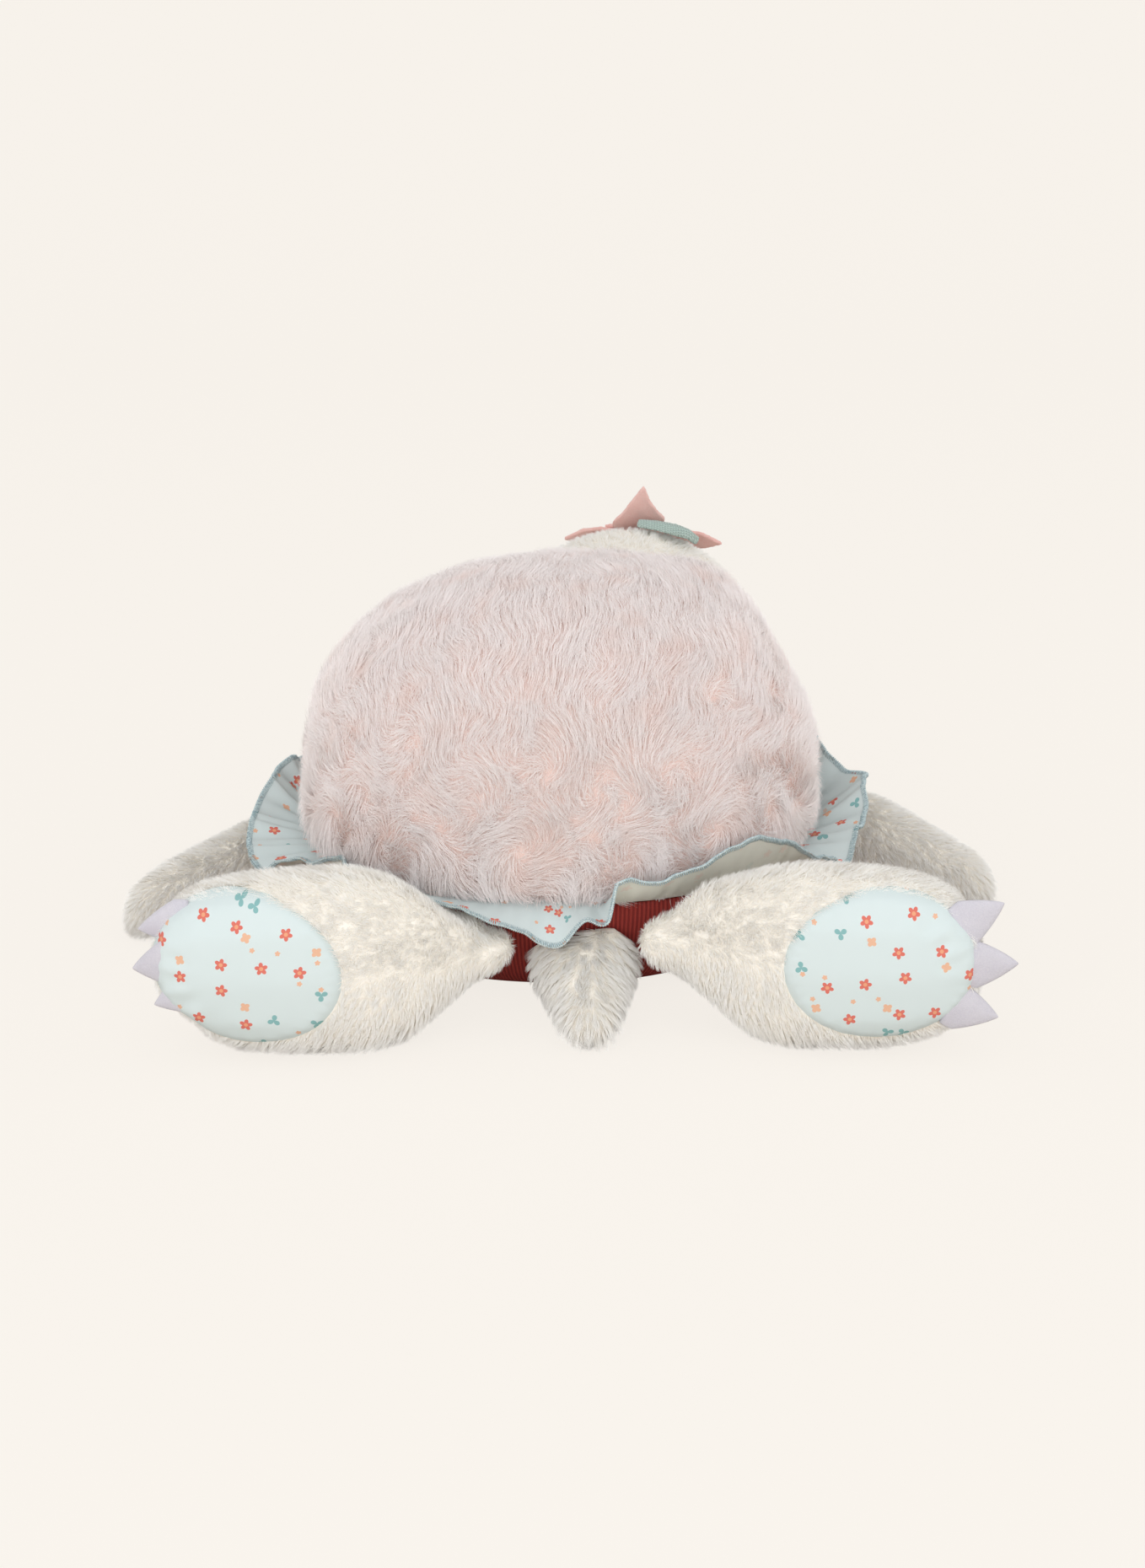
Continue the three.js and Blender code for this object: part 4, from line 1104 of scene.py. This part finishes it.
# %% [markdown]
# A sole's plane is found from the frame's own sole: its middle, its long and short ways, and the way it
# faces. The plush around it is rooted outside this oval only, or behind it, on the instep.

# %% Plane of a sole
FAR_SIDE = 14 * MM


def long_axes(points):
    """Middle of a flat thing and its long, short and thin directions."""
    middle = (points.min(0) + points.max(0)) / 2
    _, _, axes = np.linalg.svd(points - points.mean(0), full_matrices=False)
    return middle, axes


class Oval:
    """The plane of a sole: its middle, its two half widths, and its outward direction."""

    def __init__(self, node):
        places = points_of(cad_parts[node].data)
        _, axes = long_axes(places)
        self.long, self.short, self.out = axes
        if self.out[1] > 0:
            self.out = -self.out
        if self.long[2] > 0:
            self.long = -self.long
        self.short = np.cross(self.out, self.long)
        flat = np.stack([places @ self.long, places @ self.short, places @ self.out], axis=1)
        low, high = flat.min(0), flat.max(0)
        self.half = (high - low)[:2] / 2
        centre = (low + high) / 2
        self.middle = self.long * centre[0] + self.short * centre[1] + self.out * high[2]

    def share(self, points):
        """Distance from the middle of the oval, as a share of the way to its rim."""
        away = points - self.middle
        return np.hypot((away @ self.long) / self.half[0], (away @ self.short) / self.half[1])

    def beside(self, points):
        """Which points are outside the rim, or on the far side of the foot."""
        return (self.share(points) > 0.99) | ((points - self.middle) @ self.out < -FAR_SIDE)


ovals = {hand: Oval("hind_sole_" + hand) for hand in ("left", "right")}
for hand, oval in ovals.items():
    print("sole", hand, "half widths", np.round(oval.half, 4), "faces", np.round(oval.out, 2))

# %% [markdown]
# Each hind foot ends in an oval cotton sole. It is a separate panel set into the plush: slightly domed by
# the stuffing, puckered at its seam, and turned in at the rim, where the pile covers the stitches. The
# disc is a set of rings that is laid on the stuffed leg by casting each point onto it.

# %% Soles
SOLE_RINGS = 26
SOLE_SIDES = 120
SOLE_CROWN = 2.2 * MM
SOLE_TUCK = 5 * MM
SOLE_EASE = 1.04
SOLE_CUT_FROM = 0.31
CAST_FROM = 30 * MM
PUCKERS = 34
PUCKER_HEIGHT = 0.35 * MM
CREASE_AT = math.radians(215)
CREASE_HEIGHT = 0.8 * MM


def sole_piece(name, oval, form):
    """The domed oval panel of one foot."""
    tree = tree_of(points_of(form), faces_of(form))
    angles = np.arange(SOLE_SIDES) / SOLE_SIDES * TURN
    gathers = np.cos(angles * PUCKERS + 2 * np.sin(angles * 3))
    fan = np.clip(np.cos(angles - CREASE_AT), 0, 1) ** 3
    points = []
    flat = []
    for share in np.linspace(0, 1, SOLE_RINGS) ** 0.8:
        rim = max(share - 0.86, 0) / 0.14
        pucker = PUCKER_HEIGHT * math.exp(-((share - 0.9) / 0.07) ** 2) * gathers
        crease = CREASE_HEIGHT * math.exp(-((share - 0.74) / 0.14) ** 2) * fan
        lift = SOLE_CROWN * (1 - share ** 2) - SOLE_TUCK * rim ** 2.5 + pucker + crease * np.cos(angles * 15)
        x = np.cos(angles) * oval.half[0] * share
        y = np.sin(angles) * oval.half[1] * share
        for k in range(SOLE_SIDES):
            start = oval.middle + oval.long * x[k] + oval.short * y[k] + oval.out * CAST_FROM
            hit = tree.ray_cast(Vector(start), Vector(-oval.out))
            place = np.array(hit[0] or start - oval.out * CAST_FROM)
            points.append(place + oval.out * lift[k])
        flat.append(np.column_stack([x, y]) * SOLE_EASE)
    front = np.array(points)
    back = front - oval.out * CLOTH
    numbers = np.arange(len(front)).reshape(SOLE_RINGS, SOLE_SIDES)
    count = len(front)
    edge = np.stack([numbers[-1], numbers[-1] + count])
    faces = np.concatenate([band(numbers), band(numbers)[:, ::-1] + count, band(edge)])
    piece = new_piece(name, np.concatenate([front, back]), [faces], printed_cotton)
    add_cloth_map(piece.data, np.concatenate(flat + flat) + SOLE_CUT_FROM)
    add_number(piece.data, "wrong_side", np.repeat([0.0, 1.0], count))
    return piece


for hand, oval in ovals.items():
    limb = "hind_leg_" + hand
    nodes = [f"hind_leg_cover_{hand}", f"hind_leg_filling_{hand}", f"hind_sole_{hand}"]
    form = plush_limb(limb, nodes, keep=oval.beside)
    sole = sole_piece("sole_" + hand, oval, form)
    settled(sole, limb, [nodes[2]])
print("soles", len(sole.data.polygons), "faces each")

# %% [markdown]
# Felt is pressed fibre, so its edge is soft and its face is flecked. Claws, petals and the flower's heart
# are cut from it, in two colours. Fine noise gives the flecks, and finer noise in the bump gives the
# fuzz.


# %% Felt
def felt(name, light, dark):
    """A pressed felt in one colour: fine flecks of fibre over a faint cloudiness."""

    def tone(start):
        fleck = noise(start, 0.9 * MM, Detail=4.0, Roughness=0.7)
        cloud = noise(start, 14 * MM)
        return (fleck * 0.55 + cloud * 0.45).between(0.35, 0.65).mix(dark, light)

    def height(start):
        return noise(start, 0.6 * MM, Detail=4.0, Roughness=0.75)

    return finish_of(name, name, tone, sheen=0.3, bump=height, depth=0.5 * MM)


claw_felt = felt("claw_felt", linear(222, 219, 227), linear(212, 209, 219))
petal_felt = felt("petal_felt", linear(255, 214, 206), linear(250, 196, 188))
print("felts", claw_felt.name, petal_felt.name)

# %% [markdown]
# A claw is two pieces of felt sewn round a little stuffing. Wrapped solids looked flat here, so each claw
# is a lens built from rows of points: wide near its root, with full flanks and a blunt tip. It starts
# behind the sole, where the pile hides its seam. The moves, in mm, of its tip and its root set it where
# the picture shows it.

# %% Claws
CLAW_ROWS = 26
CLAW_SIDES = 28
CLAW_WIDTH = 26 * MM
CLAW_THICK = 7 * MM
CLAW_TIP_EDGE = 0.3 * MM
CLAW_INSET = 6 * MM
CLAW_BEHIND = 4.5 * MM
NO_MOVES = ((0, 0, 0), (0, 0, 0))
CLAW_MOVES = {
    "claw_left_1": ((0, 3, -11), (1.5, 6, -1)),
    "claw_left_2": ((5, 0, -1), (3, 0, 10)),
    "claw_left_3": ((6, 0, 10), (2.5, 0, 12)),
    "claw_right_2": ((0, 0, -2), (0, 0, -1)),
}


def padded_claw(name, node, oval):
    """A lens shaped claw with full flanks, from its root behind the sole out to the node's own tip."""
    places = points_of(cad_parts[node].data)
    reach = np.linalg.norm(places - oval.middle, axis=1)
    tip_move, root_move = np.array(CLAW_MOVES.get(name, NO_MOVES)) * MM
    tip = places[reach.argmax()] + tip_move
    root = places[reach < np.quantile(reach, 0.25)].mean(0) + root_move
    ahead = unit((tip - root)[None])[0]
    root = root - ahead * CLAW_INSET - oval.out * CLAW_BEHIND
    tip = tip - oval.out * CLAW_BEHIND * 0.6
    ahead = unit((tip - root)[None])[0]
    side = unit(np.cross(oval.out, ahead)[None])[0]
    up = np.cross(ahead, side)
    share = np.sin(np.linspace(0, TURN / 4, CLAW_ROWS))[:, None]
    corner = np.arange(CLAW_SIDES) / CLAW_SIDES * TURN
    flank = 0.75 + 0.25 * np.clip(share / 0.25, 0, 1)
    wide = CLAW_WIDTH / 2 * (1 - share ** 1.4) ** 0.9 * flank + CLAW_TIP_EDGE
    thick = CLAW_THICK / 2 * (1 - share ** 2) ** 0.6 + CLAW_TIP_EDGE
    points = root + ahead * (np.linalg.norm(tip - root) * share)[:, :, None]
    points = points + side * (wide * np.cos(corner))[:, :, None] + up * (thick * np.sin(corner))[:, :, None]
    numbers = np.arange(CLAW_ROWS * CLAW_SIDES).reshape(CLAW_ROWS, CLAW_SIDES)
    caps = [numbers[0][::-1][None], numbers[-1][None]]
    return new_piece(name, points.reshape(-1, 3), [band(numbers)] + caps, claw_felt)


for hand, oval in ovals.items():
    for number in (1, 2, 3):
        node = f"hind_claw_{hand}_{number}"
        claw = padded_claw(f"claw_{hand}_{number}", node, oval)
        settled(claw, "hind_leg_" + hand, [node])
print("claws", len(claw.data.polygons), "faces each")

# %% [markdown]
# The head is one more plush bag, and only its crown shows over the shell. The flower on it is felt. Its
# solids have the right shape but sharp edges, so each is wrapped again finely, smoothed, and pressed
# where a petal curls.


# %% Head
def soft_copy(name, node, voxel, rounds, material):
    """A node wrapped again with soft edges, and pressed into shape."""
    form = stuffed_form([node], voxel, rounds)
    return new_piece(name, moulded(points_of(form), PRESSES.get(node, [])), faces_of(form), material)


head_form = plush_limb("head", ["head_cover", "head_filling"])
for node in ("flower_petals_outer", "flower_petals_inner", "flower_heart"):
    petal = soft_copy(node + "_felt", node, 0.8 * MM, 3, petal_felt)
    settled(petal, "head", [node])
print("flower", len(petal.data.polygons), "faces")

# %% [markdown]
# The leaf is a padded knit. Its columns of stitches are small plaits: two rows of slanted bumps that
# meet. Its tone is painted lighter on the bumps and darker between them, as light and shade.

# %% Leaf
# The paler green is painted light on the bumps, and the darker green is painted shade between them.
LEAF_LIT = linear(200, 221, 214)
LEAF_SHADE = linear(166, 188, 182)
STITCH = 1.5 * MM


def knit_height(start):
    """High on each slanted bump, and a little higher where two rows meet."""
    x, y, z = split(start.node("TexCoord", out="Object"))
    column = abs((x * (TURN / (2 * STITCH))).cos())
    slant = ((y + z) * (TURN / STITCH) + column * 3).cos() * 0.5 + 0.5
    return slant * 0.6 + column * 0.4


def knit_tone(start):
    """Painted light on the bumps and painted shade between them."""
    return knit_height(start).between(0.1, 0.9).mix(LEAF_SHADE, LEAF_LIT)


leaf_knit = finish_of("leaf_knit", "leaf_knit", knit_tone, sheen=0.2, bump=knit_height, depth=0.5 * MM)
leaf = soft_copy("leaf_pad", "leaf", 0.9 * MM, 6, leaf_knit)
settled(leaf, "head", ["leaf"])
print("leaf", len(leaf.data.polygons), "faces")

# %% [markdown]
# Thread is a real tube here, so that it keeps its round shine from every side. One function makes many
# short tubes of equal length at once, and the face's stitches and the frill's overlock are both made by
# it.

# %% Thread
THREAD = 0.9 * MM


def thread_tone(start):
    """Dark brown that varies with the twist."""
    return noise(start, 0.5 * MM).mix(linear(58, 46, 46), linear(92, 74, 72))


eye_thread = finish_of("eye_thread", "eye_thread", thread_tone, roughness=0.45)


def tubes(name, paths, radius, material, sides=6):
    """Closed tubes with pointed ends along many short paths of equal length."""
    paths = np.asarray(paths)
    count, stations, _ = paths.shape
    ahead = unit(np.gradient(paths, axis=1))
    helper = np.array([0.31, 0.22, 0.92])
    side = unit(np.cross(ahead, helper))
    up = np.cross(side, ahead)
    corner = np.arange(sides) / sides * TURN
    round_off = np.sin(np.linspace(0.12, math.pi - 0.12, stations)) ** 0.5
    around = side[:, :, None] * np.cos(corner)[:, None] + up[:, :, None] * np.sin(corner)[:, None]
    points = paths[:, :, None] + around * (radius * round_off)[None, :, None, None]
    numbers = np.arange(stations * sides).reshape(stations, sides)
    quads = band(numbers)
    ends = np.concatenate([
        [[0, i + 1, i] for i in range(1, sides - 1)],
        [[numbers[-1, 0], numbers[-1, i], numbers[-1, i + 1]] for i in range(1, sides - 1)],
    ])
    base = np.arange(count)[:, None, None] * stations * sides
    groups = [(base + quads[None]).reshape(-1, 4), (base + ends[None]).reshape(-1, 3)]
    return new_piece(name, points.reshape(-1, 3), groups, material)


print("thread", THREAD, "m thick")

# %% [markdown]
# The face is on the far side. Its eyes are satin stitch: close parallel threads that fill an oval. The
# mouth is a row of short back stitches along a curve. Both follow the places of the frame's own small
# solids, and each thread is laid on the head, just over its pile.

# %% Stitched face
OVER_PILE = 2 * MM
EYE_BOW = 1.2 * MM
MOUTH_PARTS = 10
MOUTH_POINTS = 61
MOUTH_THREAD = 0.8 * MM
STITCH_POINTS = 8
STITCH_STEP = 6
head_tree = tree_of(points_of(head_form), faces_of(head_form))


def laid_on_head(points):
    """Points moved to lie on the head's pile."""
    found = [head_tree.find_nearest(point) for point in points]
    return np.array([np.array(spot) + np.array(way) * OVER_PILE for spot, way, _, _ in found])


def satin_eye(name, node):
    """Threads across the short way of an eye, bowed out over its middle."""
    middle, (long, short, out) = long_axes(points_of(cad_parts[node].data))
    places = points_of(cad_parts[node].data) - middle
    half_long, half_short = np.abs(places @ long).max(), np.abs(places @ short).max()
    if out[1] < 0:
        out = -out
    paths = []
    for share in np.arange(-1 + THREAD / half_long, 1, THREAD * 0.8 / half_long):
        reach = half_short * math.sqrt(max(1 - share ** 2, 0.02))
        across = np.linspace(-1, 1, 9)[:, None]
        bow = out * (1 - across ** 2) * EYE_BOW * math.sqrt(max(1 - share ** 2, 0))
        paths.append(laid_on_head(middle + long * share * half_long + short * across * reach) + bow)
    return tubes(name, paths, THREAD / 2, eye_thread)


for hand in ("left", "right"):
    eye = satin_eye("satin_eye_" + hand, "eye_" + hand)
    settled(eye, "head", ["eye_" + hand])

mouth_places = points_of(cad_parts["mouth_stitch"].data)
across = mouth_places[:, 0]
edges = np.linspace(across.min(), across.max(), MOUTH_PARTS + 1)
line = np.array([
    mouth_places[(across >= low - 1e-6) & (across <= high + 1e-6)].mean(0)
    for low, high in zip(edges[:-1], edges[1:])
])
reach = np.linspace(0, MOUTH_PARTS - 1, MOUTH_POINTS)
smooth_line = np.stack([np.interp(reach, np.arange(MOUTH_PARTS), line[:, k]) for k in range(3)], axis=1)
smooth_line = laid_on_head(smooth_line)
starts = range(0, len(smooth_line) - STITCH_POINTS, STITCH_STEP)
stitch_paths = [smooth_line[first : first + STITCH_POINTS] for first in starts]
mouth = tubes("mouth_back_stitch", stitch_paths, MOUTH_THREAD, eye_thread)
settled(mouth, "head", ["mouth_stitch"])
print("face threads", len(eye.data.polygons) + len(mouth.data.polygons), "faces")

# %% [markdown]
# The frill is one strip of printed cotton, gathered into the seam. Around the body its free edge stands
# up over the legs and turns down by the tail. The table gives that edge at a few angles, read off the
# picture: the angle in degrees, how far it stands out from the seam and how high above it, in mm. A
# smooth curve joins them.

# %% Edge of the frill
FRILL_STATIONS = [
    (59, 22, 3), (38, 20, 14), (17, 14, 39), (8, 27, 25), (4, 36, 27), (-11, 32, 6), (-20, 28.5, -1),
    (-34, 18, 18), (-48.5, 18, 30), (-60, 20, 24), (-71, 22, 17.5), (-80, 24, 18.5), (-81.6, 26, -0.5),
    (-85.5, 26, -0.5), (-90, 30, -11.5), (-94.5, 30, -6), (-100, 28, -0.5), (-108, 26, 5), (-116, 24, 9),
    (-127, 15, 9), (-139, 9, 9), (-148, 13, 9), (-161, 36, -2), (-178, 33, 9), (-192, 22, 26),
    (-215, 21, 12), (-239, 20, 2),
]
FRILL_COLUMNS = 1000


def smooth_table(table, count):
    """Rows of a table joined by a smooth curve through them, at evenly spaced angles."""
    rows = np.array(table, float)
    angles = np.linspace(rows[0, 0], rows[-1, 0], count)
    place = np.interp(-angles, -rows[:, 0], np.arange(len(rows)))
    low = np.clip(place.astype(int), 0, len(rows) - 2)
    share = (place - low)[:, None]
    before, here = rows[np.maximum(low - 1, 0)], rows[low]
    there, after = rows[low + 1], rows[np.minimum(low + 2, len(rows) - 1)]
    curve = 2 * here + (there - before) * share
    curve = curve + (2 * before - 5 * here + 4 * there - after) * share ** 2
    curve = (curve + (3 * here - before - 3 * there + after) * share ** 3) / 2
    return np.radians(angles), curve[:, 1] * MM, curve[:, 2] * MM


print("frill edge from", len(FRILL_STATIONS), "stations")

# %% [markdown]
# Two sets of waves make the cloth look gathered. Tight pleats start at the seam and are highest part of
# the way out. Softer folds grow towards the edge and swing along it. Both are calmer at the back, where the
# picture shows the strip pulled smooth. It starts inside the seam with a flat flange, as sewn cloth does.

# %% Folds of the frill
FRILL_ROWS = 16
FLANGE = 5 * MM
GATHER = 9 * MM
FOLD = 24 * MM
PLEAT_HEIGHT = 1.1 * MM
FOLD_HEIGHT = 2.6 * MM
FOLD_SWING = 2.0 * MM
TAIL_ANGLE = -85


def frill_points():
    """Rows of points from the flange inside the seam out to the free edge."""
    angles, reach, rise = smooth_table(FRILL_STATIONS, FRILL_COLUMNS)
    flat = plan_point(belly_half, angles)
    steps = np.linalg.norm(np.diff(flat, axis=0), axis=1)
    run = np.concatenate([[0], np.cumsum(steps)])
    level = np.zeros(len(flat))
    outward = unit(np.column_stack([flat / belly_half ** 2, level]))
    along = unit(np.column_stack([np.gradient(flat, axis=0), level]))
    up = np.array([0, 0, 1.0])
    phase = run / GATHER * TURN + 1.3 * np.sin(run / (31 * MM)) + 0.9 * np.sin(run / (17 * MM) + 1)
    soft = run / FOLD * TURN + 1.1 * np.sin(run / (43 * MM))
    calm = 0.3 + 0.7 * np.clip((np.abs(np.degrees(angles) - TAIL_ANGLE) - 45) / 20, 0, 1)
    across = unit(outward * rise[:, None] * -1 + up * reach[:, None] + 1e-9)
    seam = np.column_stack([flat, level + seam_height])
    rows = [np.column_stack([flat * (1 - FLANGE / belly_half), level + seam_height])]
    for share in np.linspace(0, 1, FRILL_ROWS):
        pleat = np.sin(phase) * calm * PLEAT_HEIGHT * math.sin(min(share * 1.6, 1) * math.pi * 0.75)
        fold = np.sin(soft) * calm * FOLD_HEIGHT * share ** 1.5
        swing = np.cos(soft) * calm * FOLD_SWING * share ** 1.5
        row = seam + outward * (reach * share)[:, None] + up * (rise * share ** 1.3)[:, None]
        rows.append(row + across * (pleat + fold)[:, None] + along * swing[:, None])
    return np.stack(rows)


rows = frill_points()
print("frill", rows.shape[0], "rows of", rows.shape[1], "points")

# %% [markdown]
# Cloth has two sides, and the print shows plainly on one of them only. So the strip is two sheets of
# points, one above and one below its middle, joined by a rim. Its texture map is the flat cloth in
# metres, measured along the folds, so that the print is neither stretched nor squeezed.

# %% Frill
FRILL_THICKNESS = 0.8 * MM

numbers = np.arange(rows.shape[0] * rows.shape[1]).reshape(rows.shape[:2])
middle_faces = band(numbers, closed=False)
middle = new_piece("frill_middle", rows.reshape(-1, 3), [middle_faces], printed_cotton)
facing = normals_of(middle.data)
if facing[:, 2].mean() < 0:
    facing = -facing
    middle_faces = middle_faces[:, ::-1]
bpy.data.objects.remove(middle)
centre = rows.reshape(-1, 3)
upper, lower = centre + facing * FRILL_THICKNESS / 2, centre - facing * FRILL_THICKNESS / 2
count = len(centre)
border = np.concatenate([numbers[0], numbers[1:-1, -1], numbers[-1][::-1], numbers[1:-1, 0][::-1]])
rim = band(np.stack([border, border + count]))
frill_faces = [middle_faces, middle_faces[:, ::-1] + count, rim]
frill = new_piece("frill_cloth", np.concatenate([upper, lower]), frill_faces, printed_cotton)
rises = np.linalg.norm(np.diff(rows, axis=0), axis=2)
widths = np.concatenate([np.zeros((1, rows.shape[1])), np.cumsum(rises, axis=0)])
steps = np.linalg.norm(np.diff(rows[-1], axis=0), axis=1)
lengths_along = np.concatenate([[0], np.cumsum(steps)])
flat_map = np.stack([np.broadcast_to(lengths_along, widths.shape), widths], axis=-1).reshape(-1, 2)
add_cloth_map(frill.data, np.concatenate([flat_map, flat_map]))
add_number(frill.data, "wrong_side", np.repeat([0.0, 1.0], count))
settled(frill, "body", ["ruffle"])
print("frill", len(frill.data.polygons), "faces")

# %% [markdown]
# The free edge is overlocked, so that it can't fray: loops of thread wrap it, one every 1.1 mm. Each loop
# is its own small tube. The table gives its turns round the edge as shares: inward from the edge, over or
# under the cloth, and along the edge by a part of the pitch, so that the loops slant.

# %% Overlock
OVERLOCK = linear(214, 230, 232)
# The darker thread colour is painted shade between the twists.
OVERLOCK_TWIST_SHADE = linear(168, 190, 197)
OVERLOCK_THREAD = 0.36 * MM
LOOP_PITCH = 1.1 * MM
LOOP_DEPTH = 2.7 * MM
LOOP_STAND = 0.35 * MM
LOOP_TURNS = [
    (-1.0, 1.0, -0.5), (-0.6, 1.15, -0.2), (-0.15, 1.0, 0.1), (0.08, 0.0, 0.3),
    (-0.15, -1.0, 0.45), (-0.6, -1.15, 0.6), (-1.0, -1.0, 0.8),
]


def overlock_tone(start):
    """Pale thread with painted shade between its twists, laid as noise about a loop apart."""
    return noise(start, 1.1 * MM).between(0.35, 0.65).mix(OVERLOCK_TWIST_SHADE, OVERLOCK)


overlock_thread = finish_of("overlock_thread", "printed_cotton", overlock_tone, roughness=0.6)


def spaced(row, places):
    """Points at the given lengths along the frill, on one of its rows."""
    return np.stack([np.interp(places, lengths_along, row[:, k]) for k in range(3)], axis=1)


def overlock_loops():
    """The path of each loop of thread round the free edge."""
    total = lengths_along[-1]
    count = int(total / LOOP_PITCH)
    places = (np.arange(count) + 0.5) / count * total
    edge, inside = spaced(rows[-1], places), spaced(rows[-3], places)
    out = unit(edge - inside)
    ahead = unit(np.gradient(edge, axis=0))
    over = np.cross(out, ahead)
    half = FRILL_THICKNESS / 2 + LOOP_STAND
    return np.stack([
        edge + out * LOOP_DEPTH * a + over * half * b + ahead * LOOP_PITCH * c for a, b, c in LOOP_TURNS
    ], axis=1)


loops = overlock_loops()
overlock = tubes("frill_overlock", loops, OVERLOCK_THREAD, overlock_thread, sides=5)
settled(overlock, "body", ["ruffle"])

# %% [markdown]
# Inside everything is loose fibre. It is never seen while the seams hold, but a toy is not hollow, so
# each cover keeps its lump of stuffing, soft and uneven.


# %% Stuffing
def fibre_tone(start):
    """Off white in soft clouds."""
    return noise(start, 6 * MM).mix(linear(236, 236, 232), linear(250, 250, 248))


stuffing = finish_of("stuffing_fibre", "stuffing", fibre_tone, sheen=0.3)


def fibre_lump(node, voxel, ease, presses=()):
    """A node's stuffing, a little smaller than its cover and uneven."""
    form = stuffed_form([node], voxel, 8)
    normals = normals_of(form)
    points = moulded(points_of(form), presses) - normals * ease
    points = points + normals * (waves(points, 14 * MM, 3) * 0.6 * MM)[:, None]
    return new_piece(node + "_fibre", points, faces_of(form), stuffing)


settled(fibre_lump("body_filling", 5 * MM, 2 * MM), "body", ["body_filling"])
for limb, node in {
    "head": "head_filling", "tail": "tail_filling",
    "hind_leg_left": "hind_leg_filling_left", "hind_leg_right": "hind_leg_filling_right",
    "front_leg_left": "front_leg_filling_left", "front_leg_right": "front_leg_filling_right",
}.items():
    crossing(fibre_lump(node, 3 * MM, 1.5 * MM, PRESSES.get(limb, [])), [node])
print("stuffed", len(BENDS) + 1, "lumps")

# %% [markdown]
# The studio is a pale floor that bends up into a pale wall. Its finish shows plain cream to the camera.
# To the light that bounces it is darker, so that the toy's underside stays in shade, as it does in the
# picture.

# %% Floor and wall
BACKDROP = linear(249, 244, 237)
FLOOR_BOUNCE = linear(205, 196, 186)
SHOWN_SHARE = 0.9
FLOOR_HALF = 4.0
WALL_AT = 2.5
WALL_HEIGHT = 3.0
BEND = 1.0


def backdrop_finish():
    """Mostly its own plain light to the camera, with some shadow, and a plain surface to all else."""
    material = bpy.data.materials.new("backdrop")
    material.use_nodes = True
    tree = material.node_tree
    tree.nodes.clear()
    start = Wire(tree)
    seen = start.node("LightPath", out="Is Camera Ray")
    plain = start.node("BsdfDiffuse", {}, {"Color": seen.mix(FLOOR_BOUNCE, BACKDROP)})
    shown = start.node("Emission", {}, {"Color": BACKDROP, "Strength": 1.0})
    joined = start.node("MixShader", {}, {0: seen * SHOWN_SHARE, 1: plain, 2: shown})
    output = tree.nodes.new("ShaderNodeOutputMaterial")
    tree.links.new(joined.socket, output.inputs["Surface"])
    return material


def backdrop():
    """A floor and a wall as one sheet, joined by a quarter round."""
    profile = [(-FLOOR_HALF, 0.0), (WALL_AT - BEND, 0.0)]
    for angle in np.linspace(0, TURN / 4, 13)[1:]:
        profile.append((WALL_AT - BEND + math.sin(angle) * BEND, BEND - math.cos(angle) * BEND))
    profile.append((WALL_AT, WALL_HEIGHT))
    points = [(side * FLOOR_HALF, y, z) for side in (-1, 1) for y, z in profile]
    numbers = np.arange(len(points)).reshape(2, -1)
    return new_piece("backdrop", points, [band(numbers, closed=False)[:, ::-1]], backdrop_finish())


floor = backdrop()
print("wall", WALL_AT, "m behind the toy")

# %% [markdown]
# Four soft lamps and an even white world light the toy from all round, with most light from the camera's
# side. Each lamp is a wide disc that faces the toy: the wider the disc, the softer the shadow.

# %% Light
WORLD_STRENGTH = 0.76


def soft_light(name, place, size, power):
    """A round lamp that faces the toy, with its width in metres and its power in watts."""
    data = bpy.data.lights.new(name, "AREA")
    data.shape = "DISK"
    data.size = size
    data.energy = power
    lamp = bpy.data.objects.new(name, data)
    bpy.context.scene.collection.objects.link(lamp)
    lamp.location = place
    lamp.rotation_euler = (TARGET - Vector(place)).to_track_quat("-Z", "Y").to_euler()


soft_light("key", (-0.4, -2.0, 0.35), 2.0, 21)
soft_light("fill", (1.2, -1.6, 0.3), 1.4, 5)
soft_light("left_side", (-2.0, 0.0, 1.0), 1.4, 5)
soft_light("right_side", (2.0, 0.0, 1.0), 1.4, 6)
world = bpy.data.worlds.new("studio")
world.use_nodes = True
sky = world.node_tree.nodes["Background"]
sky.inputs["Color"].default_value = (1, 1, 1, 1)
sky.inputs["Strength"].default_value = WORLD_STRENGTH
bpy.context.scene.world = world
bpy.context.scene.view_settings.view_transform = "Standard"
print("studio with 4 soft lights")
